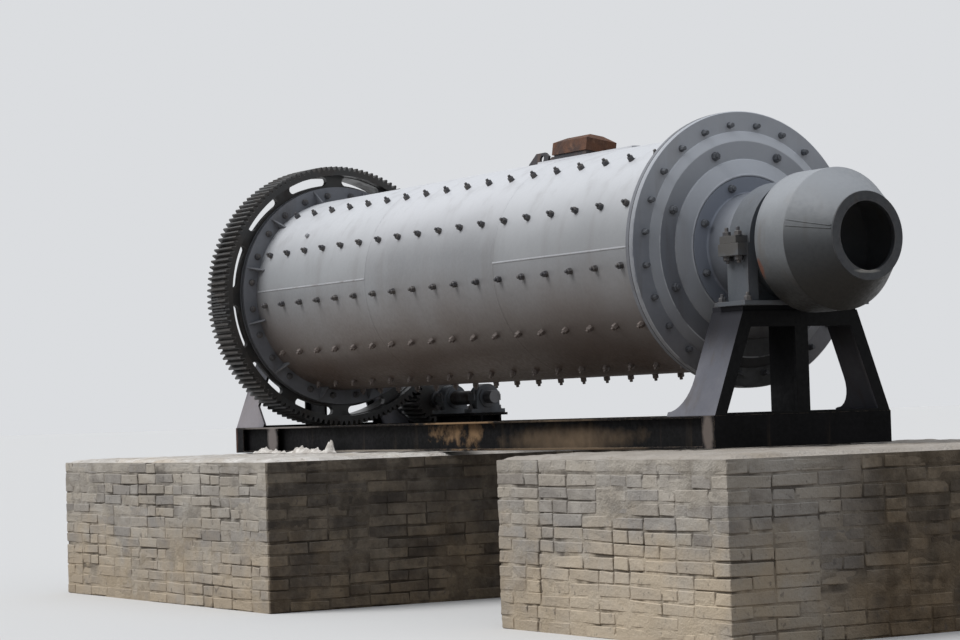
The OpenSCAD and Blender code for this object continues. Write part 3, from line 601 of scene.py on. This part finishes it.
# Grout
# White mortar heaped against the foot of the near beam, highest at its end.
grout_white, tree, shader, _, lumpy = two_tone(
    "white_grout", 0.92, srgb(182, 175, 167), srgb(222, 217, 210), 22.0, 0.35, 0.65)
relief(shader, lumpy, 0.7, 0.006)
pier_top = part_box("drive_pier_mortar")[1].z
beam_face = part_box("near_beam")[0].y
x = np.linspace(-2.93, -1.79, 115)
u = np.linspace(0.0, 1.0, 9)
peaks = 0.46 + 0.5 * smooth_noise(x, 0.0, 0.11, 61) + 0.3 * smooth_noise(x, 0.0, 0.03, 62)
tall = np.clip(0.036 * peaks, 0.004, None) + 0.037 * np.exp(-((x + 1.855) / 0.030) ** 4)
ends = np.clip(np.minimum(x - x[0], x[-1] - x) / 0.03, 0.0, 1.0)
reach = ((0.020 + 0.5 * tall) * np.clip(ends, 0.2, 1.0))[:, None]
tall = (tall * ends)[:, None]
rough = smooth_noise(x[:, None], u * 0.1, 0.016, 63)
slope = tall * (1 - u ** 2) * (1 + 0.4 * rough * (1 - u))
points = np.stack([np.broadcast_to(x[:, None], slope.shape), beam_face - 0.0005 - reach * u,
                   pier_top - 0.0035 + slope], axis=-1)
foot = points[:, ::-1] * [1.0, 1.0, 0.0] + [0.0, 0.0, pier_top - 0.005]
rings = np.concatenate([points, foot], axis=1)[:, ::-1]
faces = tube_faces(*rings.shape[:2], clockwise=True)
heaps = mesh_piece("grout_heaps", rings.reshape(-1, 3), faces, grout_white, smooth=True)
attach(heaps, "base")

# Base frame
# Two long rolled beams tied by end and inner cross beams, painted black, with dust on the flanges.
frame_black, tree, shader, color = weathered_paint(
    "black_frame_paint", srgb(13, 13, 14), srgb(23, 22, 24), srgb(84, 72, 60), metal=srgb(122, 108, 94),
    roughness=(0.6, 0.8), dirt_from=0.60, dirt_to=0.84)
shader.inputs["Specular IOR Level"].default_value = 0.1
color = lay_over(tree, color, srgb(146, 118, 88), 0.88, patch_at, Place=(-0.33, -0.55, 0.99),
              Size=(0.42, 0.06, 0.16), Ragged=1.9, Grain=9.0)
color = lay_over(tree, color, srgb(122, 104, 84), 0.72, patch_at, Place=(0.72, -0.55, 0.90),
              Size=(0.85, 0.06, 0.13), Ragged=1.0, Grain=3.0)
for middle, size, shade in (((-2.657, -0.553, 0.925), (0.078, 0.02, 0.12), srgb(124, 117, 114)),
                            ((2.033, -0.553, 0.925), (0.052, 0.02, 0.12), srgb(112, 103, 97)),
                            ((-3.175, -0.553, 0.925), (0.02, 0.04, 0.12), srgb(84, 60, 52)),
                            ((-1.30, -0.553, 0.850), (0.62, 0.02, 0.011), srgb(150, 141, 130)),
                            ((-2.55, -0.553, 1.000), (0.60, 0.02, 0.009), srgb(128, 122, 118))):
    color = lay_over(tree, color, shade, 0.8, patch_at, Place=middle, Size=size, Ragged=0.5, Grain=30.0)
paint(shader, color)
finish_nodes(frame_black, "near_beam", "far_beam", "feed_end_beam", "drive_end_beam", "inner_ties",
             "pinion_bed")

# Pedestals
# Welded stools that carry the trunnion bearings: leaning grey side plates with painted shadow under the deck,
# legs near black from dark paint and painted shade, and painted shade over the middle between the side
# plates.
pedestal_paint_light_and_shade, tree, shader, color = weathered_paint(
    "pedestal_paint_light_and_shade", srgb(98, 99, 106), srgb(112, 112, 118), srgb(92, 86, 82), wear=0.5)
shader.inputs["Specular IOR Level"].default_value = 0.1
endwise = span(tree, maths(tree, "ABSOLUTE", split(tree, "Normal")["X"]), 0.6, 0.8)
inner = span(tree, maths(tree, "ABSOLUTE", split(tree)["Y"]), 0.26, 0.22)
# Painted shadow over the upper part of the side plates, under the deck.
color = lay_over(tree, color, srgb(38, 38, 42), 0.9, fade, From=1.20, To=1.46, Ragged=0.1)
# A painted patch of light on the drive pedestal's near plate.
color = lay_over(tree, color, srgb(146, 140, 142), 0.7, patch_at, Place=(-3.02, -0.42, 1.06),
              Size=(0.30, 0.30, 0.26), Ragged=0.5, Grain=5.0)
# Near black on the faces turned along the axis, by dark paint and painted shade; painted shade between the
# side plates.
color = tint(tree, endwise, color, srgb(9, 9, 10), 0.98)
color = tint(tree, inner, color, srgb(12, 12, 13), 0.93)
paint(shader, color)
finish_nodes(pedestal_paint_light_and_shade, "feed_pedestal", "drive_pedestal")

# Trunnion bearings and pillow blocks
# Cast housings split at the shaft's height, painted grey, paler on top, with bronze bushes inside.
bearing_grey, tree, shader, color = weathered_paint(
    "bearing_grey_paint", srgb(81, 85, 90), srgb(95, 99, 103), srgb(76, 72, 70), wear=0.5)
color = lay_over(tree, color, srgb(78, 74, 68), 0.75, patch_at, Place=(2.023, -0.37, AXIS_Z),
              Size=(0.14, 0.08, 0.09), Ragged=0.8, Grain=24.0)
color = fade_from_axis(tree, color, srgb(116, 120, 126), 0.8, 0.16, 0.34, 0.1)
paint(shader, color)
finish_nodes(bearing_grey, "feed_bearing_base", "feed_bearing_cap", "drive_bearing_base", "drive_bearing_cap",
             "outboard_block", "inboard_block", "end_block")
bronze, tree, shader, _, oil = two_tone(
    "bush_bronze", 0.35, srgb(176, 140, 84), srgb(96, 74, 48), 9.0, 0.4, 0.7, metallic=1.0)
rough_between(shader, oil, 0.3, 0.55)
finish_nodes(bronze, "feed_bearing_bush", "drive_bearing_bush")

# Drum shell
# Three rolled and welded plates, painted light grey, with a painted highlight over the top, and dust and
# painted shade turning them brown towards the underside. Rows of liner bolts run along it; a doubling plate
# lies round the manhole.
drum_paint_light_and_shade, tree, shader, color, _ = two_tone(
    "drum_paint_light_and_shade", 0.45, srgb(126, 127, 129), srgb(139, 140, 142), 1.3, 0.35, 0.7)
# A painted highlight over the upper half.
color = fade_from_axis(tree, color, srgb(201, 202, 205), 0.92, 0.06, 0.46, 0.14)
color = lay_over(tree, color, srgb(160, 163, 166), 0.3, patch_at, Place=(MILL_X - 1.6, -0.60, AXIS_Z + 0.15),
              Size=(0.8, 0.4, 0.19), Ragged=0.5, Grain=2.2)
at = split(tree)
above_weld = span(tree, at["Z"], AXIS_Z + 0.018, AXIS_Z + 0.026)
from_middle = maths(tree, "ABSOLUTE", maths(tree, "ADD", at["X"], -MILL_X))
end_plates = maths(tree, "MULTIPLY", above_weld, span(tree, from_middle, 0.724, 0.729))
end_plates = maths(tree, "MULTIPLY", end_plates, span(tree, at["Y"], 0.0, -0.1))
color = tint(tree, end_plates, color, srgb(184, 187, 189), 0.18)
# Dust and painted shade darken the lower half to brown.
color = fade_from_axis(tree, color, srgb(104, 95, 90), 0.82, 0.06, -0.34, 0.3)
color = fade_from_axis(tree, color, srgb(84, 68, 58), 0.8, -0.22, -0.56, 0.3)
color = lay_over(tree, color, srgb(104, 98, 94), 0.22, runs, Scale=9.0, Length=0.05, From=0.48, To=0.78)
paint(shader, color)
fine = specks(tree, 46.0)
rough_between(shader, fine, 0.36, 0.55)
relief(shader, fine, 0.12, 0.0012)
finish_nodes(drum_paint_light_and_shade, "shell", "manhole_pad")


def lathe(profile, sides):
    """A profile of (radius, height) turned about +Z: rings of points, with quads between them and a flat
    cap on the first and the last ring."""
    profile = np.asarray(profile, dtype=float)
    angles = 2 * np.pi * np.arange(sides) / sides
    circle = np.stack([np.cos(angles), np.sin(angles)], axis=-1)
    points = np.concatenate([profile[:, None, :1] * circle,
                             np.broadcast_to(profile[:, None, 1:], (len(profile), sides, 1))], axis=-1)
    return points.reshape(-1, 3), tube_faces(len(profile), sides)


def nut_parts(across, height, washer_r, washer_t, stud_r, stud_l):
    """A washer, a hexagonal nut with chamfered corners and the stud's end, standing on z = 0."""
    corner = across / 2 / np.cos(np.pi / 6)
    top = washer_t + height
    washer = lathe([[washer_r, 0.0], [washer_r, washer_t * 0.8], [washer_r * 0.93, washer_t]], 14)
    nut = lathe([[corner, washer_t], [corner, washer_t + height * 0.8], [across / 2 * 0.93, top]], 6)
    stud = lathe([[stud_r, washer_t + height * 0.9], [stud_r, top + stud_l * 0.8],
                  [stud_r * 0.78, top + stud_l]], 8)
    return [washer, nut, stud]


def set_fasteners(name, parts, places, outward, material, body, turned=True):
    """Copies the parts to each place, with +Z along the outward direction and turned at random."""
    count = len(places)
    outward = np.broadcast_to(np.asarray(outward, dtype=float), (count, 3))
    helper = np.where(np.abs(outward[:, :1]) < 0.9, [[1.0, 0.0, 0.0]], [[0.0, 1.0, 0.0]])
    side = np.cross(helper, outward)
    side /= np.linalg.norm(side, axis=1, keepdims=True)
    other = np.cross(outward, side)
    if turned:
        spin = bolt_draws.uniform(0, np.pi, (count, 1))
        side, other = np.cos(spin) * side + np.sin(spin) * other, np.cos(spin) * other - np.sin(spin) * side
    axes = np.stack([side, other, outward], axis=1)
    points, groups, base = [], [], 0
    for part_points, part_faces in parts:
        moved = np.einsum("pk,nkj->npj", part_points, axes) + places[:, None]
        points.append(moved.reshape(-1, 3))
        groups += [repeat_faces(faces, count, len(part_points)) + base for faces in part_faces]
        base += count * len(part_points)
    made = mesh_piece(name, np.concatenate(points), groups, material)
    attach(made, body)


def around(radius, angles, x):
    """Points round the mill's axis, with their radial directions. Angles are in degrees up from the near
    side, x counts from the drum's middle."""
    a = np.radians(np.asarray(angles, dtype=float))
    direction = np.stack([np.zeros_like(a), -np.cos(a), np.sin(a)], axis=-1)
    centre = np.reshape(x, (-1, 1)) * [1.0, 0.0, 0.0] + [MILL_X, 0.0, AXIS_Z]
    return direction * radius + centre, direction


def bolt_finish(name, dust_and_shade, amount, low=srgb(66, 66, 70), high=srgb(92, 88, 85)):
    """Dark iron with clouds of a second tone, and a second colour towards the underside of the mill: dust on
    the iron bolts, painted shade on the painted ones.
    """
    made, tree, shader, color, _ = two_tone(name, 0.55, low, high, 30.0, 0.4, 0.65)
    color = fade_from_axis(tree, color, dust_and_shade, amount, -0.02, -0.40, 0.2)
    paint(shader, color)
    relief(shader, specks(tree, 120.0), 0.25, 0.0008)
    return made


bolt_draws = np.random.default_rng(7)
bolt_iron = bolt_finish("bolt_iron", srgb(80, 78, 78), 0.5)
liner_iron = bolt_finish("liner_bolt_iron", srgb(110, 98, 91), 0.75)

# Liner bolts: rows every 30 degrees, eighteen to a row, with no row at the crown.
crown_row = 83.58
row_angles = 23.58 + 30.0 * np.arange(12)
row_angles = row_angles[np.abs(row_angles - crown_row) > 1.0]
row_x = 1.9715 - 0.2352 * np.arange(18)
angles, x = (v.ravel() for v in np.meshgrid(row_angles, row_x, indexing="ij"))
places, outward = around(SHELL_R, angles, x)
set_fasteners("liner_bolts", nut_parts(0.031, 0.021, 0.018, 0.004, 0.009, 0.013), places, outward, liner_iron,
              "drum")


# Weld seams
# Low ground-down beads: two round the shell where its three plates meet, one along each plate.
def bead(name, line, outward, width, height, material, body, closed=False, seed=1):
    """A flat-bottomed bead along a line of points: a half-ellipse across it, its height rippled along the
    way. Its foot is sunk a little below the surface."""
    line, outward = np.asarray(line, dtype=float), np.asarray(outward, dtype=float)
    ahead = np.roll(line, -1, axis=0) - np.roll(line, 1, axis=0)
    if not closed:
        ahead[0], ahead[-1] = line[1] - line[0], line[-1] - line[-2]
    ahead /= np.linalg.norm(ahead, axis=1, keepdims=True)
    across = np.cross(ahead, outward)
    t = np.linspace(0, 2 * np.pi, 10, endpoint=False)
    ripple = 1 + 0.18 * smooth_noise(np.arange(len(line)), 0.0, 1.7, seed)
    rise = np.where(np.sin(t) > 0, np.sin(t), 0.5 * np.sin(t))
    points = (line[:, None] + across[:, None] * (np.cos(t) * width / 2)[None, :, None]
              + outward[:, None] * (rise[None] * height * ripple[:, None])[..., None])
    faces = tube_faces(len(line), len(t), closed, clockwise=True)
    made = mesh_piece(name, points.reshape(-1, 3), faces, material, smooth=True)
    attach(made, body)


weld_grey = weathered_paint("weld_grey_paint", srgb(160, 161, 164), srgb(172, 173, 176), srgb(112, 104, 98),
                            wear=0.0)[0]
full_turn = np.linspace(0.0, 360.0, 360, endpoint=False)
RING_WELD_X, PLATE_END_X = 0.7267, 2.14
for number, x in enumerate((-RING_WELD_X, RING_WELD_X)):
    line, outward = around(SHELL_R, full_turn, x)
    bead(f"shell_ring_weld_{number}", line, outward, 0.016, 0.0003, drum_paint_light_and_shade, "drum", True, 21)
plates = ((RING_WELD_X, PLATE_END_X, 2.0), (-RING_WELD_X, RING_WELD_X, 122.0),
          (-PLATE_END_X, -RING_WELD_X, 2.0))
for number, (start, end, angle) in enumerate(plates):
    line, outward = around(SHELL_R, np.full(180, angle), np.linspace(start, end, 180))
    bead(f"shell_long_weld_{number}", line, outward, 0.012, 0.0022, weld_grey, "drum", seed=31)

# A lone plug between two rows of nuts.
places, outward = around(SHELL_R, [34.0], [-1.627])
set_fasteners("shell_plug", nut_parts(0.026, 0.014, 0.016, 0.003, 0.008, 0.004), places, outward, weld_grey,
              "drum", turned=False)

# Flanges and heads
# Cast heads with turned steps, painted blue grey, bolted to the shell flanges. Painted light and shade lie
# over the
# paint: highlights on the upper part, the slopes and the edges, shade on the flat between the slopes and low
# down.
# The numbers are the radii of the rim and of the slopes between the steps.
RIM_R = 0.7065
SLOPE_1_OUT, SLOPE_1_IN, SLOPE_2_OUT, SLOPE_2_IN = 0.603, 0.551, 0.459, 0.376
ring_at, given, result = shader_group("Ring", Radius=0.5, Width=0.02)
at = split(ring_at)
across = node(ring_at, "ShaderNodeCombineXYZ", {1: at["Y"], 2: maths(ring_at, "ADD", at["Z"], -AXIS_Z)})
off = maths(ring_at, "SUBTRACT", vectors(ring_at, "LENGTH", across.outputs[0]), given["Radius"])
inside = maths(ring_at, "MULTIPLY", given["Width"], 0.5)
inside = maths(ring_at, "SUBTRACT", inside, maths(ring_at, "ABSOLUTE", off))
ring_at.links.new(span(ring_at, inside, -0.001, 0.001), result["Mask"])

# The worn edges are pale: bare steel, and a painted highlight where the edges catch the light.
head_paint_light_and_shade, tree, shader, color = weathered_paint(
    "head_paint_light_and_shade", srgb(122, 126, 134), srgb(136, 140, 147), srgb(98, 92, 88), metal=srgb(190, 194, 202),
    edge_radius=0.006, wear=0.7)
# Painted shade on the flat between the two slopes, and painted light on the slopes.
color = lay_over(tree, color, srgb(96, 100, 108), 0.6, ring_at, Radius=(SLOPE_1_IN + SLOPE_2_OUT) / 2,
              Width=SLOPE_1_IN - SLOPE_2_OUT - 0.004)
for outer, inner in ((SLOPE_1_OUT, SLOPE_1_IN), (SLOPE_2_OUT, SLOPE_2_IN)):
    color = lay_over(tree, color, srgb(168, 172, 178), 0.5, ring_at, Radius=(outer + inner) / 2,
                  Width=outer - inner)
# A painted highlight over the upper part, weaker on the drive head.
upper_light = effect(tree, fade, From=AXIS_Z, To=AXIS_Z + 0.58, Ragged=0.2)["Mask"]
feed_side = span(tree, split(tree)["X"], MILL_X, MILL_X + 0.1, 0.35)
sloping = span(tree, split(tree, "Normal")["X"], 0.99, 0.94, 0.54)
sunlit = maths(tree, "MULTIPLY", maths(tree, "MULTIPLY", upper_light, feed_side), sloping)
color = tint(tree, sunlit, color, srgb(222, 226, 232), 0.92)
# Painted shade over the lower part, and a painted shadow low on the feed head beneath its pedestal.
color = fade_from_axis(tree, color, srgb(94, 90, 90), 0.8, -0.10, -0.60, 0.3)
color = lay_over(tree, color, srgb(22, 22, 23), 0.9, patch_at, Size=(0.2, 0.34, 0.26), Ragged=0.4, Grain=7.0,
              Place=(MILL_X + JOINT_X + 0.05, -0.02, AXIS_Z - 0.62))
# The rim is kept a plain grey under the painted highlight; painted glints, broken by clouds, run round its
# outer edge and the inner edges of the slopes.
color = lay_over(tree, color, srgb(134, 136, 140), 0.7, ring_at, Radius=RIM_R, Width=0.006)
glint_breaks = effect(tree, blotches, Scale=9.0, From=0.34, To=0.56)["Mask"]
for radius, width in ((SLOPE_1_IN, 0.006), (SLOPE_2_IN, 0.006), (RIM_R - 0.0045, 0.004)):
    glint = maths(tree, "MULTIPLY", effect(tree, ring_at, Radius=radius, Width=width)["Mask"], glint_breaks)
    color = tint(tree, glint, color, srgb(206, 209, 214), 0.55)
paint(shader, color)
finish_nodes(head_paint_light_and_shade, "feed_head", "drive_head")

# Shell flanges: the same grey, left darker and dirtier than the heads they hold.
flange_grey = weathered_paint("flange_grey_paint", srgb(104, 106, 112), srgb(119, 121, 126), srgb(84, 80, 78),
                              wear=0.5)[0]
finish_nodes(flange_grey, "feed_shell_flange", "drive_shell_flange")

# Painted bolts, darker towards the underside: painted shade, as on the heads.
painted_bolt = bolt_finish("painted_bolt", srgb(62, 62, 66), 0.7, srgb(84, 87, 92), srgb(104, 107, 112))
RIM_BOLTS_R = {"feed": 0.635, "drive": 0.650}
circle_24 = 7.5 + 15.0 * np.arange(24)
circle_8 = 22.5 + 45.0 * np.arange(8)
for side, end in ((1, "feed"), (-1, "drive")):
    circles = (("flange", RIM_BOLTS_R[end], 0.030, circle_24, 0.027),
               ("dish", 0.505, 0.050, circle_8, 0.038),
               ("neck", 0.325, 0.084, circle_8, 0.034))
    for label, radius, out_by, angles, across in circles:
        places = around(radius, angles, side * (JOINT_X + out_by))[0]
        parts = nut_parts(across, 0.02, across * 0.62, 0.004, 0.012, 0.009)
        set_fasteners(f"{end}_head_{label}_bolts", parts, places, [side, 0.0, 0.0], painted_bolt, "drum")
    places = around(RIM_BOLTS_R[end], circle_24, side * (JOINT_X - 0.028))[0]
    set_fasteners(f"{end}_flange_back_bolts", nut_parts(0.034, 0.016, 0.021, 0.004, 0.011, 0.008),
                  places, [-side, 0.0, 0.0], bolt_iron, "drum")

# The gap between head and flange shows as a thin black line, a bead of painted shade.
joint_shade_black, tree, shader = principled("joint_shade_black", 0.8)
shader.inputs["Base Color"].default_value = srgb(38, 38, 40)
flange_low, flange_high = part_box("feed_shell_flange")
for end, side in (("feed", 1), ("drive", -1)):
    line, outward = around((flange_high.z - flange_low.z) / 2, full_turn, side * JOINT_X)
    bead(end + "_joint_line", line, outward, 0.005, 0.0006, joint_shade_black, "drum", True, 51)


# Bearing bolts
# Cap bolts stand on the lugs at each side of the split, holding-down bolts on the feet.
def upright_bolts(name, across, x, y, z, height=0.02, stud=0.012, up=1.0):
    """Nuts on studs at every x with every y, at z over the mill's axis, pointing up or down."""
    x, y = (v.ravel() for v in np.meshgrid(x, y))
    places = np.column_stack([x, y, np.full(len(x), z)]) + [MILL_X, 0.0, AXIS_Z]
    set_fasteners(name, nut_parts(across, height, across * 0.66, 0.004, across * 0.27, stud), places,
                  [0.0, 0.0, up], bolt_iron, "base")


for end in ("feed", "drive"):
    low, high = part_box(end + "_bearing_cap")
    middle, lug_y = (low[0] + high[0]) / 2 - MILL_X, high[1] - 0.030
    lugs = middle + np.array([-0.046, 0.046]), [-lug_y, lug_y]
    upright_bolts(end + "_cap_bolts", 0.036, *lugs, 0.038, stud=0.02)
    upright_bolts(end + "_cap_bolt_heads", 0.036, *lugs, -0.060, up=-1.0)
    foot_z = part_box(end + "_bearing_base")[0].z + 0.022 - AXIS_Z
    feet = middle + np.array([-0.104, 0.104]), [-0.352, 0.352]
    upright_bolts(end + "_foot_bolts", 0.034, *feet, foot_z, stud=0.018)

for name in ("outboard_block", "inboard_block", "end_block"):
    low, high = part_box(name)
    middle, centre_y = (low[0] + high[0]) / 2 - MILL_X, (low[1] + high[1]) / 2
    foot_z, cap_z = low[2] + 0.025 - AXIS_Z, low[2] + 0.118 - AXIS_Z
    upright_bolts(name + "_foot_bolts", 0.028, middle, centre_y + np.array([-0.105, 0.105]), foot_z)
    upright_bolts(name + "_cap_bolts", 0.018, middle + np.array([-0.02, 0.02]),
                  centre_y + np.array([-0.092, 0.092]), cap_z, 0.01, 0.006)

# Trunnions
# Cast with the flange that bolts into the head; painted like the head, but turned bright where the
# journal runs in its bearing.
trunnion_finish, tree, shader, coat, _ = two_tone(
    "trunnion_finish", 0.45, srgb(100, 104, 112), srgb(112, 116, 123), 3.1, 0.38, 0.68)
# A faint painted highlight along the upper side.
coat = fade_from_axis(tree, coat, srgb(146, 150, 157), 0.2, 0.08, 0.34, 0.15)
reach = maths(tree, "ABSOLUTE", maths(tree, "ADD", split(tree)["X"], -MILL_X))
coat = tint(tree, span(tree, reach, JOINT_X + 0.100, JOINT_X + 0.092), coat, srgb(140, 146, 158), 0.9)
bright = maths(tree, "MULTIPLY", span(tree, reach, JOINT_X + 0.294, JOINT_X + 0.296),
               span(tree, reach, JOINT_X + 0.486, JOINT_X + 0.484))
steel = lay_over(tree, srgb(150, 150, 152), srgb(98, 88, 78), 1.0, blotches, Scale=5.0, From=0.42, To=0.68)
paint(shader, tint(tree, bright, coat, steel))
tree.links.new(bright, shader.inputs["Metallic"])
rough_between(shader, bright, 0.55, 0.32)
finish_nodes(trunnion_finish, "feed_trunnion", "drive_trunnion")

# Pinion shaft
# Turned steel with dull oil and a little rust away from the bearings.
turned_steel, tree, shader, _, grease = two_tone(
    "turned_steel", 0.35, srgb(104, 104, 106), srgb(70, 64, 58), 5.0, 0.42, 0.68, metallic=0.6)
rough_between(shader, grease, 0.45, 0.7)
finish_nodes(turned_steel, "pinion_shaft")

# Girth gear and pinion
# Cast iron under old black grease, brown where it has dried, with teeth rubbed paler along their tips.
gear_iron, tree, shader, color, grease = two_tone(
    "greased_iron", 0.45, srgb(38, 38, 38), srgb(57, 53, 50), 6.0, 0.4, 0.65)
color = lay_over(tree, color, srgb(112, 106, 100), 1.0, edges, Radius=0.004, Amount=0.7)
paint(shader, color)
rough_between(shader, grease, 0.35, 0.7)
finish_nodes(gear_iron, "girth_gear", "gear_web", "pinion")

# Feeder
# A rolled drum and cone with a small mouth, painted light grey, with a painted highlight on top and painted
# shade on the cone and underneath, and rusty at the back rim.
feeder_paint_light_and_shade, tree, shader, color = weathered_paint(
    "feeder_paint_light_and_shade", srgb(104, 107, 110), srgb(118, 121, 123), srgb(96, 88, 80), wear=0.3)
# A painted highlight on top.
color = fade_from_axis(tree, color, srgb(150, 153, 157), 0.85, 0.02, 0.30, 0.12)
cone_low, cone_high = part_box("feeder_cone")
on_cone = span(tree, split(tree)["X"], cone_low.x - 0.002, cone_low.x + 0.002)
# Painted shade over the cone below its upper part.
cone_shade = effect(tree, fade, From=AXIS_Z + 0.16, To=AXIS_Z - 0.08, Ragged=0.12)["Mask"]
color = tint(tree, maths(tree, "MULTIPLY", cone_shade, on_cone), color, srgb(24, 26, 29), 0.88)
# Painted shade underneath.
color = fade_from_axis(tree, color, srgb(27, 25, 22), 0.92, -0.02, -0.25, 0.2)
color = lay_over(tree, color, srgb(108, 62, 40), 0.85, patch_at, Place=(MILL_X + 2.745, -0.322, AXIS_Z - 0.135),
              Size=(0.03, 0.05, 0.06), Ragged=1.0, Grain=26.0)
paint(shader, color)
finish_nodes(feeder_paint_light_and_shade, "feeder_back", "feeder_barrel", "feeder_cone")

# The mouth's plate is darker, a painted shade, with a painted highlight along the foot of its opening.
mouth_paint_light_and_shade, tree, shader, color = weathered_paint(
    "mouth_paint_light_and_shade", srgb(46, 48, 52), srgb(58, 60, 63), srgb(52, 47, 42), wear=0.4)
color = lay_over(tree, color, srgb(168, 166, 160), 0.8, patch_at, Place=(2.622, -0.01, AXIS_Z - 0.169),
              Size=(0.03, 0.085, 0.012), Ragged=0.4, Grain=30.0)
paint(shader, color)
finish_nodes(mouth_paint_light_and_shade, "feeder_mouth", "feeder_lip")

# Two seams close together, where the cone's plate was lapped.
mouth_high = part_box("feeder_mouth")[1]
cone_r, taper, length = cone_high.y, cone_high.y - mouth_high.y, cone_high.x - cone_low.x
flare = np.array([taper, length]) / np.hypot(taper, length)
along = np.linspace(0.02, 0.98, 40)
for number, (start, end) in enumerate(((15.0, 12.6), (10.0, 8.8))):
    places, outward = around((cone_r - taper * along)[:, None], start + (end - start) * along,
                             cone_low.x - MILL_X + length * along)
    outward = outward * flare[1] + [flare[0], 0.0, 0.0]
    bead(f"cone_seam_{number}", places, outward, 0.007, 0.0026, feeder_paint_light_and_shade, "drum", seed=41)

# Manhole cover
# A heavy plate cover, brown with rust all over, on a neck painted black as the shade under the cover, between
# black clamps.
hatch_black_and_shade = weathered_paint("hatch_black_paint_and_shade", srgb(30, 30, 36), srgb(44, 42, 46), srgb(92, 66, 52),
                              wear=0.6)[0]
finish_nodes(hatch_black_and_shade, "manhole_neck", "manhole_lugs")
rust, tree, shader, color, _ = two_tone(
    "rusty_plate", 0.85, srgb(98, 64, 44), srgb(62, 44, 37), 9.0, 0.38, 0.65)
color = lay_over(tree, color, srgb(128, 96, 74), 0.6, blotches, Scale=22.0, From=0.55, To=0.72)
paint(shader, color)
relief(shader, specks(tree, 60.0), 0.6, 0.003)
finish_nodes(rust, "manhole_cover")
